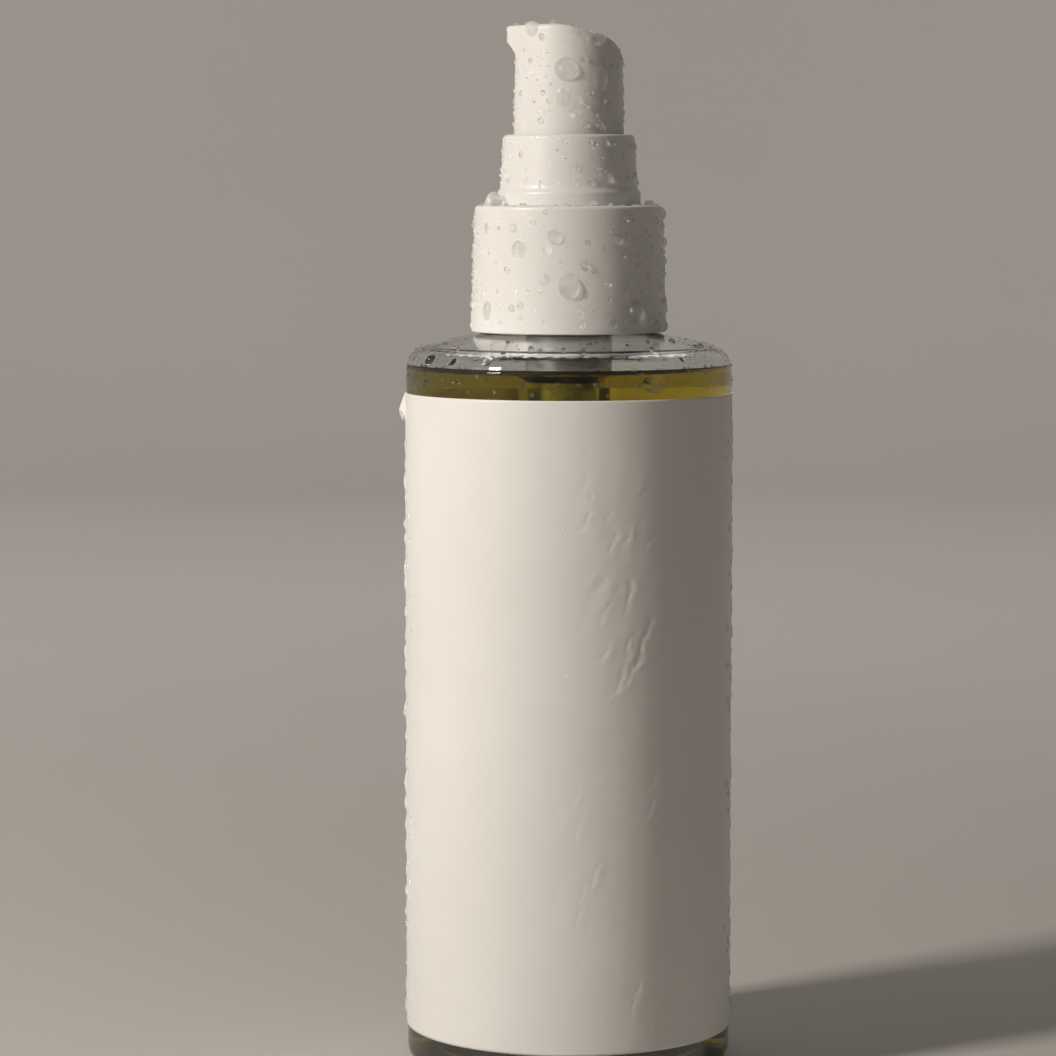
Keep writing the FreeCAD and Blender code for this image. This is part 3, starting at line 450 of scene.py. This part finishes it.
turn = []
a = -LABEL_HALF
while a < LABEL_HALF - 1e-6:
    turn.append(a)
    a += 0.4 if -10.0 <= a < 41.0 else (0.6 if 78.0 <= abs(a) < 102.0 else (1.2 if abs(a) < 78.0 else 3.0))
turn.append(LABEL_HALF)
turn = np.radians(np.array(turn))
rows = np.linspace(LABEL_Z0, LABEL_Z1, 282)
S, Z = np.meshgrid(turn * LABEL_R, rows)
puff = np.zeros_like(S)
rng = random.Random(11)
for w, depth, points in RUNS:
    way = np.array([on_label(*p) for p in points])
    near = np.full_like(S, 1e9)
    side = np.zeros_like(S)
    f0, f1, f2 = (rng.uniform(0.0, 6.3) for _ in range(3))
    wander = S + 0.15 * np.sin(1.9 * Z + f0) + 0.09 * np.sin(4.6 * Z + f1)
    for (x0, z0), (x1, z1) in zip(way[:-1], way[1:]):
        dx, dz = x1 - x0, z1 - z0
        t = np.clip(((wander - x0) * dx + (Z - z0) * dz) / (dx * dx + dz * dz), 0.0, 1.0)
        d = np.hypot(wander - x0 - t * dx, Z - z0 - t * dz)
        side = np.where(d < near, wander - x0 - t * dx, side)
        near = np.minimum(near, d)
    w = 0.72 * w * (1.0 + 0.3 * np.sin(2.3 * Z + f1))
    depth = 0.58 * depth * (0.72 + 0.28 * np.sin(3.1 * Z + f2))
    puff -= depth * np.exp(-((near / w) ** 2))
    puff += 0.45 * depth * np.exp(-(((near - 2.1 * w) / (1.5 * w)) ** 2)) / (1.0 + np.exp(-side / 0.12))
for _ in range(26):  # slow drying marks down the film
    x = rng.uniform(-30.0, 26.0)
    zc, zl = rng.uniform(12.0, 92.0), rng.uniform(6.0, 22.0)
    w = rng.uniform(0.5, 1.4)
    lean = rng.uniform(-0.06, 0.06)
    puff += rng.uniform(-0.010, 0.012) * np.exp(-(((S - x - lean * (Z - zc)) / w) ** 2)) * np.exp(-(((Z - zc) / zl) ** 2))
for _ in range(40):  # the film never lies quite flat
    x, zc, w = rng.uniform(-70.0, 70.0), rng.uniform(8.0, 94.0), rng.uniform(2.0, 6.0)
    puff += rng.uniform(-0.012, 0.012) * np.exp(-(((S - x) / w) ** 2 + ((Z - zc) / (1.6 * w)) ** 2))
for _ in range(150):  # soft swellings round the runs, leaning the same way
    w, depth, points = RUNS[rng.randrange(len(RUNS))]
    x, zc = on_label(*points[rng.randrange(len(points))])
    x, zc = x + rng.gauss(0.0, 1.6), zc + rng.gauss(0.0, 2.2)
    across, along = rng.uniform(0.45, 0.95), rng.uniform(0.9, 2.6)
    lean = math.radians(rng.uniform(8.0, 34.0))
    u = (S - x) * math.cos(lean) - (Z - zc) * math.sin(lean)
    v = (S - x) * math.sin(lean) + (Z - zc) * math.cos(lean)
    puff += rng.uniform(-0.024, 0.028) * np.exp(-((u / across) ** 2 + (v / along) ** 2))
edge = np.minimum(np.minimum(Z - LABEL_Z0, LABEL_Z1 - Z), LABEL_R * math.radians(LABEL_HALF) - np.abs(S))
puff *= np.clip(edge / 0.8, 0.0, 1.0)
for side in (-1.0, 1.0):  # water under the film stands up in small blisters along both sides
    z = LABEL_Z0 + 2.0
    while z < LABEL_Z1 - (6.5 if side < 0 else 2.0):
        high = rng.uniform(0.6, 1.5)
        x = side * LABEL_R * math.radians(90.0 + rng.gauss(0.0, 3.2))
        lift = rng.uniform(0.10, 0.30) * (1.0 if side < 0 else 0.8)
        g = ((S - x) / rng.uniform(0.75, 1.15)) ** 2 + ((Z - z) / high) ** 2
        puff += lift * np.clip(1.0 - g, 0.0, 1.0) ** 0.8
        z += rng.uniform(1.5, 4.2)
x = LABEL_R * math.radians(-88.0)  # the largest hangs at the upper left corner: a point at the edge, full lower down
fall = np.clip((LABEL_Z1 - Z) / 3.75, 0.0, 1.0)
wide = 0.25 + 1.35 * fall ** 0.8
full = np.where(fall < 0.62, (fall / 0.62) ** 0.85, np.sqrt(np.clip(1.0 - ((fall - 0.62) / 0.38) ** 2, 0.0, 1.0)))
puff += 0.86 * full * np.clip(1.0 - ((S - x) / wide) ** 2, 0.0, 1.0) ** 0.7

R = LABEL_R + puff
cols = len(turn)
outer = np.stack([R * np.sin(turn)[None, :], -R * np.cos(turn)[None, :], Z], -1).reshape(-1, 3) * MM
inner_z = np.array([LABEL_Z0, LABEL_Z1])
inner = np.array([(LABEL_IN * math.sin(t), -LABEL_IN * math.cos(t), z) for z in inner_z for t in turn]) * MM
n_rows = len(rows)
base = n_rows * cols
faces, smooth = [], []
for j in range(n_rows - 1):
    for i in range(cols - 1):
        p = j * cols + i
        faces.append((p, p + 1, p + cols + 1, p + cols))
        smooth.append(True)
for i in range(cols - 1):
    p = base + i
    faces.append((p + cols, p + cols + 1, p + 1, p))
    smooth.append(True)
    faces.append((i + 1, i, base + i, base + i + 1))
    smooth.append(False)
    q = (n_rows - 1) * cols + i
    faces.append((q, q + 1, base + cols + i + 1, base + cols + i))
    smooth.append(False)
faces.append(tuple(j * cols for j in range(n_rows)) + (base + cols, base))
faces.append((base + cols - 1, base + 2 * cols - 1) + tuple(j * cols + cols - 1 for j in range(n_rows - 1, -1, -1)))
smooth += [False, False]
label = piece("wrap_label", np.vstack([outer, inner]), faces, label_mat, smooth)
# the inner side of the film gets a grey finish that is painted shade
label.data.materials.append(label_reverse_painted_shade("label_reverse_painted_shade"))
for poly in label.data.polygons:
    if all(v >= base for v in poly.vertices):
        poly.material_index = 1
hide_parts("label")
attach(label, "bottle")


# ------------------------------------------------------------- water beads
# The bottle is wet. Each bead is a closed cap of water that sits on the surface under it and moves with it.
def tree_of(obj):
    m = obj.data
    return BVHTree.FromPolygons([v.co.copy() for v in m.vertices], [tuple(p.vertices) for p in m.polygons])


CARRY = {
    "actuator": (tree_of(nodes["actuator"]), "head"),
    "guide_sleeve": (tree_of(nodes["guide_sleeve"]), "pump_engine"),
    "screw_collar": (tree_of(nodes["screw_collar"]), "closure"),
    "bottle": (tree_of(nodes["bottle"]), "bottle"),
    "label": (tree_of(label), "bottle"),
}
beads = {k: ([], []) for k in CARRY}
placed = {k: [] for k in CARRY}
SINK = 0.05


def clear_of(carrier, at, a, room=1.04):
    return all((at - q).length > (a + b) * MM * room for q, b in placed[carrier])


def bead(carrier, at, n, au, av, h, rnd, sag=0.10, wobble=0.05, sink=SINK):
    """Adds a cap with half-widths au (level) and av (up and down) and height h, in mm; its foot goes sink deep."""
    verts, faces = beads[carrier]
    start = len(verts)
    size = 0.5 * (au + av)
    steps = 12 if size < 0.25 else (16 if size < 0.6 else (26 if size < 1.1 else 40))
    rings = 4 if size < 0.25 else (5 if size < 0.6 else (8 if size < 1.1 else 12))
    c = 2.0 * math.atan(min(h / size, 0.98))
    rs = size / math.sin(c)
    waves = [(k, rnd.uniform(-wobble, wobble) / (k - 1), rnd.uniform(0, 2 * math.pi)) for k in (2, 3, 4)]
    x0, y0, z0 = at / MM
    r0 = math.hypot(x0, y0)
    round_side = abs(n.z) < 0.75 and r0 > 2.0
    if round_side:
        th = math.atan2(y0, x0)
        nr = n.x * math.cos(th) + n.y * math.sin(th)
        skew = n.x * -math.sin(th) + n.y * math.cos(th)
        round_side = abs(skew) < 0.12
    if round_side:
        nz = n.z
    else:
        level = Vector((-n.y, n.x, 0.0))
        level = level.normalized() if level.length > 1e-4 else Vector((1.0, 0.0, 0.0))
        rise = n.cross(level)

    def put(u, v, w):
        if round_side:
            t = th + u / r0
            r = r0 - v * nz + w * nr
            return Vector((r * math.cos(t), r * math.sin(t), z0 + v * nr + w * nz)) * MM
        return at + (level * u + rise * v + n * w) * MM

    down = sag * size if abs(n.z) < 0.75 else 0.0
    verts.append(put(0.0, -down, h))
    for i in range(1, rings + 1):
        q = math.sin(0.5 * math.pi * i / rings)
        w = (math.sqrt(max(rs * rs - (size * q) ** 2, 0.0)) - rs * math.cos(c)) if i < rings else 0.0
        w *= h / (rs * (1.0 - math.cos(c)))
        for k in range(steps):
            f = 2 * math.pi * k / steps
            g = q * (1.0 + q * sum(m * math.cos(j * f + p) for j, m, p in waves))
            verts.append(put(au * g * math.cos(f), av * g * math.sin(f) - down * w / h, w))
    for k in range(steps):
        f = 2 * math.pi * k / steps
        g = 0.985 * (1.0 + sum(m * math.cos(j * f + p) for j, m, p in waves))
        verts.append(put(au * g * math.cos(f), av * g * math.sin(f), -sink))
    verts.append(put(0.0, 0.0, -sink))
    last = start + 1 + (rings + 1) * steps
    for k in range(steps):
        m = (k + 1) % steps
        faces.append((start, start + 1 + k, start + 1 + m))
        for i in range(rings):
            p = start + 1 + i * steps
            faces.append((p + k, p + steps + k, p + steps + m, p + m))
        p = start + 1 + rings * steps
        faces.append((p + m, p + k, last))
    placed[carrier].append((at.copy(), max(au, av)))


def tallest(carrier, at):
    """How far a bead may stand off: the actuator's lower part goes into the guide sleeve."""
    if carrier == "actuator" and at.z < 0.1398:
        return 0.40
    return 9.0


def seen(px, py, carriers):
    best = None
    d = sight(px, py)
    for k in carriers:
        hit, n, _, dist = CARRY[k][0].ray_cast(EYE, d)
        if hit is not None and (best is None or dist < best[3]):
            best = (k, hit, n if n.dot(d) < 0 else -n, dist)
    return best


PX = 7.11  # picture points per mm at the bottle
FRONT = [  # (x, y, half-width, half-height, height over half-width)
    # actuator
    (566.3, 69.1, 12.0, 11.5, 0.60), (601.3, 77.5, 9.0, 13.5, 0.50), (563.5, 97.0, 7.0, 10.0, 0.20),
    (583.5, 58.2, 3.6, 3.6, 0.92), (594.5, 41.0, 3.4, 3.4, 0.92), (592.5, 52.7, 1.6, 1.6, 0.92), (530.0, 61.0, 3.3, 3.3, 0.50),
    (541.6, 37.0, 4.0, 4.2, 0.40), (542.2, 51.0, 2.4, 2.4, 0.60), (547.4, 52.5, 1.8, 1.8, 0.60), (521.0, 93.2, 3.3, 3.3, 0.60),
    (542.8, 92.6, 3.0, 3.0, 0.60), (548.5, 101.2, 3.0, 3.0, 0.60), (533.6, 102.4, 2.4, 2.4, 0.60), (540.5, 120.8, 3.8, 3.8, 0.55),
    (585.8, 92.6, 2.1, 2.1, 0.92), (591.6, 93.2, 2.1, 2.1, 0.92), (603.0, 100.1, 3.0, 3.0, 0.92), (585.3, 105.3, 3.3, 3.3, 0.92),
    (595.0, 115.0, 2.4, 2.4, 0.92), (585.8, 124.8, 3.3, 3.3, 0.92), (599.6, 124.8, 4.8, 4.8, 0.50), (543.5, 58.0, 1.7, 1.7, 0.60),
    (548.0, 66.0, 1.9, 1.9, 0.60), (546.0, 76.0, 1.6, 1.6, 0.60), (551.0, 84.0, 1.8, 1.8, 0.60), (537.0, 79.0, 1.6, 1.6, 0.60),
    (550.0, 110.0, 1.8, 1.8, 0.60), (545.0, 112.0, 1.5, 1.5, 0.60), (527.0, 78.0, 1.5, 1.5, 0.60), (524.0, 50.0, 2.2, 2.2, 0.50),
    (576.0, 31.6, 3.4, 3.0, 0.70), (516.0, 61.5, 1.8, 2.0, 0.60),
    # guide sleeve
    (575.5, 167.0, 4.6, 4.6, 0.75), (604.8, 176.4, 7.0, 7.0, 0.80), (520.4, 154.6, 3.4, 3.4, 0.40), (589.9, 140.8, 2.5, 2.5, 0.92),
    (595.0, 144.3, 2.6, 2.6, 0.92), (604.8, 141.5, 4.6, 4.4, 0.80), (612.8, 143.1, 2.6, 2.6, 0.92), (613.4, 152.3, 1.7, 1.7, 0.92),
    (601.1, 158.0, 1.8, 1.8, 0.92), (622.6, 158.0, 1.8, 1.8, 0.92), (591.0, 182.2, 3.3, 3.3, 0.80), (539.4, 182.2, 1.6, 1.6, 0.70),
    (539.4, 186.8, 1.6, 1.6, 0.70), (508.6, 180.0, 3.4, 3.4, 0.50), (557.0, 150.0, 1.6, 1.6, 0.60), (566.0, 158.0, 1.4, 1.4, 0.60),
    (534.8, 136.9, 1.5, 1.5, 0.70), (540.2, 136.9, 1.5, 1.5, 0.70),
    # screw collar
    (486.1, 228.4, 5.5, 5.8, 0.32), (498.4, 228.4, 2.9, 2.9, 0.40), (512.8, 228.4, 4.8, 4.8, 0.40), (518.7, 250.1, 8.8, 9.0, 0.50),
    (489.3, 251.9, 2.6, 2.6, 0.50), (506.6, 269.8, 3.7, 3.7, 0.45), (555.1, 236.9, 7.6, 7.6, 0.62), (585.4, 265.8, 5.0, 5.0, 0.92),
    (544.3, 279.0, 5.9, 6.2, 0.32), (569.3, 286.6, 10.5, 12.5, 0.66), (587.6, 242.3, 3.0, 3.0, 0.35), (545.5, 212.3, 2.6, 2.6, 0.40),
    (487.1, 310.6, 6.5, 10.0, 0.45), (511.3, 308.4, 4.0, 4.0, 0.35), (520.3, 305.8, 4.0, 4.0, 0.35), (520.1, 317.9, 3.2, 3.2, 0.40),
    (498.9, 321.6, 2.9, 2.9, 0.40), (606.7, 317.2, 5.0, 6.0, 0.35), (636.0, 313.0, 9.5, 11.0, 0.80), (651.0, 324.0, 5.4, 4.8, 0.92),
    (625.8, 218.9, 2.3, 2.3, 0.92), (633.8, 221.0, 2.6, 2.6, 0.92), (610.4, 232.5, 1.8, 1.8, 0.92), (628.0, 236.6, 1.9, 1.9, 0.92),
    (635.0, 240.4, 2.4, 2.4, 0.92), (626.8, 243.8, 1.6, 1.6, 0.92), (622.8, 256.0, 2.4, 2.4, 0.92), (637.9, 255.5, 1.6, 1.6, 0.92),
    (637.5, 264.8, 1.6, 1.6, 0.92), (630.2, 283.4, 2.6, 2.6, 0.92), (625.8, 291.4, 1.6, 1.6, 0.92), (625.8, 297.4, 1.6, 1.6, 0.92),
    (609.3, 299.6, 1.8, 1.8, 0.92), (625.8, 322.0, 1.8, 1.8, 0.92), (602.3, 248.2, 3.4, 2.2, 0.30), (560.0, 262.0, 1.4, 1.4, 0.50),
    (531.0, 222.0, 1.8, 1.8, 0.50), (497.0, 291.0, 2.2, 2.2, 0.50), (528.0, 291.0, 1.8, 1.8, 0.40), (646.0, 232.0, 2.0, 2.0, 0.92),
    (652.0, 248.0, 1.8, 1.8, 0.92), (648.0, 275.0, 2.0, 2.0, 0.92), (642.0, 292.0, 1.6, 1.6, 0.92), (594.0, 310.0, 1.7, 1.7, 0.80),
    # shoulder
    (430.3, 359.6, 7.4, 6.2, 0.75), (451.9, 361.8, 5.3, 4.8, 0.75), (486.5, 361.2, 6.3, 5.2, 0.75), (655.0, 383.5, 13.5, 9.0, 0.42),
    (698.0, 345.5, 12.0, 6.0, 0.40), (671.8, 340.6, 4.0, 3.0, 0.70), (458.0, 379.7, 1.6, 1.6, 0.70), (481.4, 383.5, 1.7, 1.7, 0.70),
    (494.3, 391.6, 1.7, 1.7, 0.70), (524.0, 384.0, 2.4, 2.4, 0.70), (558.0, 384.8, 2.2, 2.2, 0.70), (451.9, 388.0, 1.4, 1.4, 0.70),
    (437.4, 373.0, 1.4, 1.4, 0.70), (532.0, 395.5, 2.2, 2.2, 0.70), (571.0, 393.0, 1.6, 1.6, 0.70), (608.0, 396.0, 1.8, 1.8, 0.70),
    (684.0, 391.0, 2.0, 2.0, 0.60), (707.0, 388.0, 1.8, 1.8, 0.70), (422.0, 365.0, 1.4, 1.4, 0.70), (414.0, 358.5, 1.6, 1.6, 0.70),
    # label
    (564.0, 535.0, 1.7, 1.9, 0.95), (566.5, 677.0, 1.6, 1.7, 0.95), (543.0, 433.0, 1.3, 1.3, 0.95),
]
rnd = random.Random(5)
for x, y, au, av, flat in FRONT:
    found = seen(x, y, CARRY)
    if found is None:
        continue
    k, at, n, _ = found
    h = min(flat * 0.5 * (au + av) / PX, tallest(k, at))
    bead(k, at, n, au / PX, av / PX, h, rnd)


for x, y, au, av, h in ((531.8, 26.9, 1.16, 0.92, 0.80), (600.0, 36.0, 1.30, 0.55, 0.32)):  # two that hang over the head's rim
    k, at, n, _ = seen(x, y, ["actuator"])
    n = (Vector((n.x, n.y, 0.0)).normalized() * 0.62 + Vector((0.0, 0.0, 0.78))).normalized()
    bead(k, at, n, au, av, h, rnd, sink=0.85)


def side_point(carrier, turn_deg, z):
    """The outside of a carrier at a bearing from the front and a height in mm."""
    t = math.radians(turn_deg)
    out = Vector((math.sin(t), -math.cos(t), 0.0))
    hit, n, _, _ = CARRY[carrier][0].ray_cast(out * 0.06 + Vector((0, 0, z * MM)), -out)
    return (hit, n) if hit is not None else None


def top_point(carrier, r, turn_deg):
    t = math.radians(turn_deg)
    hit, n, _, _ = CARRY[carrier][0].ray_cast(Vector((r * MM * math.sin(t), -r * MM * math.cos(t), 0.2)), Vector((0, 0, -1)))
    return (hit, n) if hit is not None else None


def sizes(rnd, small, large, bias=2.6):
    return small + (large - small) * rnd.random() ** bias


def scatter_side(carrier, count, z0, z1, small, large, wanted, rnd, bias=2.6, flat=(0.45, 0.75)):
    for _ in range(count):
        t, z = rnd.uniform(-180, 180), rnd.uniform(z0, z1)
        a = sizes(rnd, small, large, bias)
        keep = rnd.random()
        squat = rnd.uniform(*flat)
        if keep > wanted(t, z):
            continue
        found = side_point(carrier, t, z)
        if found is None:
            continue
        at, n = found
        if abs(n.z) > 0.6 or not clear_of(carrier, at, a):
            continue
        bead(carrier, at, n, a, a * rnd.uniform(0.95, 1.15), min(squat * a, tallest(carrier, at)), rnd)


def scatter_top(carrier, count, r0, r1, small, large, rnd, low=-1.0, bias=2.6):
    for _ in range(count):
        r, t = math.sqrt(rnd.uniform(r0 * r0, r1 * r1)), rnd.uniform(-180, 180)
        a = sizes(rnd, small, large, bias)
        squat = rnd.uniform(0.75, 0.97)
        found = top_point(carrier, r, t)
        if found is None:
            continue
        at, n = found
        if n.z < 0.5 or at.z < low * MM or not clear_of(carrier, at, a):
            continue
        bead(carrier, at, n, a, a, squat * a, rnd)


def at_height(carrier, turn_deg, py, low, high):
    """The outside of a carrier at a bearing, at the height that falls on line py of the picture."""
    for _ in range(40):
        mid = 0.5 * (low + high)
        hit, n = side_point(carrier, turn_deg, mid)
        low, high = (mid, high) if spot(hit)[1] > py else (low, mid)
    return hit, n


OUTLINE = [  # beads on the left and right outline: (carrier, bearing, line of the picture, half-width, half-height, height in mm)
    ("actuator", -84, 62.0, 0.26, 0.28, 0.22), ("actuator", -86, 90.8, 0.28, 0.32, 0.26), ("actuator", -85, 124.0, 0.32, 0.36, 0.30),
    ("actuator", 84, 88.0, 0.24, 0.26, 0.18), ("actuator", 86, 112.0, 0.26, 0.30, 0.22),
    ("guide_sleeve", -86, 138.6, 0.20, 0.22, 0.16), ("guide_sleeve", -85, 150.8, 0.30, 0.36, 0.24),
    ("guide_sleeve", -87, 159.5, 0.22, 0.25, 0.15), ("guide_sleeve", -85, 169.2, 0.32, 0.36, 0.24),
    ("guide_sleeve", 86, 149.0, 0.24, 0.28, 0.16),
    ("screw_collar", -87, 220.0, 0.30, 0.38, 0.20), ("screw_collar", -86, 234.0, 0.26, 0.30, 0.16),
    ("screw_collar", -88, 245.5, 0.32, 0.42, 0.22), ("screw_collar", -86, 265.0, 0.32, 0.40, 0.22),
    ("screw_collar", -87, 281.0, 0.34, 0.40, 0.24), ("screw_collar", -86, 296.0, 0.36, 0.44, 0.26),
    ("screw_collar", -88, 312.0, 0.28, 0.34, 0.18), ("screw_collar", 87, 226.0, 0.28, 0.34, 0.18),
    ("screw_collar", 86, 252.0, 0.26, 0.30, 0.18), ("screw_collar", 88, 274.0, 0.30, 0.34, 0.20),
    ("screw_collar", 86, 300.0, 0.30, 0.36, 0.22),
    ("label", -88, 1004.0, 0.60, 1.30, 0.30), ("label", 88, 1002.0, 0.60, 1.20, 0.28),
]
SPAN = {"actuator": (131.5, 144.0), "guide_sleeve": (124.4, 131.4), "screw_collar": (104.6, 121.2), "label": (6.5, 95.5)}
rnd = random.Random(31)
for k, t, py, au, av, h in OUTLINE:
    at, n = at_height(k, t, py, *SPAN[k])
    bead(k, at, n, au, av, min(h, tallest(k, at)), rnd)

DECK = [  # beads that stand on a level face: (carrier, radius, bearing, half-width, height, in mm)
    ("actuator", 6.5, -20.4, 0.66, 0.55), ("actuator", 7.4, -90.0, 0.52, 0.45), ("actuator", 4.2, -64.0, 0.45, 0.30),
    ("screw_collar", 11.62, -65.0, 1.22, 1.95), ("screw_collar", 11.75, 15.4, 0.68, 0.75), ("screw_collar", 11.9, -47.5, 0.40, 0.40),
    ("screw_collar", 11.9, -33.8, 0.42, 0.38), ("screw_collar", 11.9, -3.8, 0.42, 0.45), ("screw_collar", 11.9, 28.0, 0.36, 0.38),
    ("screw_collar", 11.8, -79.0, 0.50, 0.50), ("screw_collar", 11.8, 70.0, 0.55, 0.50), ("screw_collar", 11.7, 104.0, 0.80, 0.80),
    ("screw_collar", 11.8, -128.0, 0.70, 0.75), ("screw_collar", 11.8, 158.0, 0.60, 0.55),
]
for k, r, t, a, h in DECK:
    at, n = top_point(k, r, t)
    bead(k, at, n, a, a, h, rnd)
for t0, r0, spread, count in ((-78.0, 21.6, 9.0, 14), (-58.0, 18.6, 6.0, 10), (74.0, 21.3, 8.0, 10)):  # fine spray on the shoulder
    for _ in range(count):
        a = rnd.uniform(0.10, 0.22)
        at, n = top_point("bottle", r0 + rnd.uniform(-0.9, 0.9), t0 + rnd.uniform(-spread, spread))
        if clear_of("bottle", at, a):
            bead("bottle", at, n, a, a, 0.95 * a, rnd)


def front_thin(t, z):
    """The front carries the beads listed above, and only a few more; sides and back carry many."""
    f = abs(t)
    if f > 115:
        return 0.55
    return 0.16 if f < 62 else (0.16 + 0.84 * min(1.0, (f - 62) / 20.0))


def head_wet(t, z):
    return 0.0 if abs(t + 90) < 40 and z > 140.6 else front_thin(t, z)


listed = {k: len(faces) for k, (verts, faces) in beads.items()}
rnd = random.Random(23)
scatter_side("actuator", 620, 132.6, 145.2, 0.12, 0.62, head_wet, rnd)
scatter_top("actuator", 60, 0.5, 7.0, 0.14, 0.8, rnd)
scatter_side("guide_sleeve", 480, 124.9, 131.2, 0.12, 0.55, front_thin, rnd)
scatter_top("screw_collar", 90, 10.9, 12.5, 0.12, 0.42, rnd, low=121.5)
scatter_side("screw_collar", 1150, 105.0, 120.9, 0.12, 0.75, front_thin, rnd)
scatter_top("bottle", 230, 15.6, 22.3, 0.09, 0.45, rnd, bias=3.4)
scatter_side("bottle", 260, 96.6, 99.8, 0.10, 0.40, lambda t, z: 0.5 if abs(t) < 60 else 0.9, rnd)


def label_wet(t, z):
    f = abs(t)
    if f > LABEL_HALF - 2.5:
        return 0.0
    if f > 96:
        return max(0.34, 0.72 - (f - 96) / 45.0)
    return 0.0 if f < 70 else min(0.72, (f - 70) / 19.0)


scatter_side("label", 4200, 7.2, 94.8, 0.18, 0.75, label_wet, rnd, bias=1.7, flat=(0.20, 0.34))

for k, (verts, faces) in beads.items():
    body = CARRY[k][1]
    drops = piece("water_beads_" + k, verts, faces, wall_water_mat if k == "bottle" else water_mat)
    if k != "bottle":
        drops.data.materials.append(spray_mat)
        fine = 0 if k == "label" else listed.get(k, 0)
        drops.data.polygons.foreach_set("material_index", [int(i >= fine) for i in range(len(faces))])
    drops.data.set_sharp_from_angle(angle=math.radians(36))
    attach(drops, body)


# ------------------------------------------------------------------- stage
# A round cove of pale paper: level floor, a wide bend, and a wall all the way round.
path = [(r, 0.0) for r in (0.03, 0.07, 0.13, 0.22, 0.36, 0.54, 0.76, 1.0)]
path += [(1.0 + 0.35 * math.sin(math.radians(a)), 0.35 - 0.35 * math.cos(math.radians(a))) for a in range(6, 91, 6)]
path += [(1.35, 0.7), (1.35, 1.7)]
TURNS = 72
verts = [(r * math.sin(2 * math.pi * i / TURNS), r * math.cos(2 * math.pi * i / TURNS), z) for r, z in path for i in range(TURNS)]
faces = [
    (j * TURNS + i, (j + 1) * TURNS + i, (j + 1) * TURNS + (i + 1) % TURNS, j * TURNS + (i + 1) % TURNS)
    for j in range(len(path) - 1) for i in range(TURNS)
]
faces.append(tuple(range(TURNS)))
sweep = piece("paper_cove", verts, faces, paper_sweep("pale_paper"))


def softbox(name, bearing, height_deg, dist, size, watts, colour, aim=(0.0, 0.0, 0.078)):
    """A square softbox at a bearing from the front (positive to the right) and a height angle."""
    b, e = math.radians(bearing), math.radians(height_deg)
    data = bpy.data.lights.new(name, "AREA")
    data.shape = "RECTANGLE"
    data.size, data.size_y = size
    data.energy = watts
    data.color = colour
    lamp = link(bpy.data.objects.new(name, data))
    way = Vector((math.sin(b) * math.cos(e), -math.cos(b) * math.cos(e), math.sin(e)))
    lamp.location = Vector(aim) + way * dist
    lamp.rotation_euler = way.to_track_quat("Z", "Y").to_euler()
    return lamp


softbox("key", -57, 25, 0.60, (0.08, 0.10), 3.15, (1.0, 0.93, 0.845), (0.0, 0.0, 0.11))
softbox("back", 176, 62, 1.0, (0.9, 0.6), 1.2, (1.0, 0.985, 0.96), (0.0, 0.22, 0.05))
softbox("wall", 0, 28, 1.0, (1.4, 0.5), 4.0, (1.0, 0.985, 0.96), (0.0, 1.30, 0.35))
softbox("wall_left", 90, 28, 1.0, (1.4, 0.5), 2.4, (1.0, 0.985, 0.96), (-1.30, 0.0, 0.35))
softbox("top", 8, 80, 1.05, (0.9, 0.9), 0.24, (1.0, 0.985, 0.96))
softbox("fill", 62, 36, 1.15, (0.9, 0.9), 0.04, (0.93, 0.96, 1.0))

world = bpy.data.worlds.new("studio")
scene.world = world
world.use_nodes = True
back = world.node_tree.nodes["Background"]
back.inputs["Color"].default_value = (0.93, 0.95, 1.0, 1.0)
back.inputs["Strength"].default_value = 0.014
scene.view_settings.view_transform = "Standard"
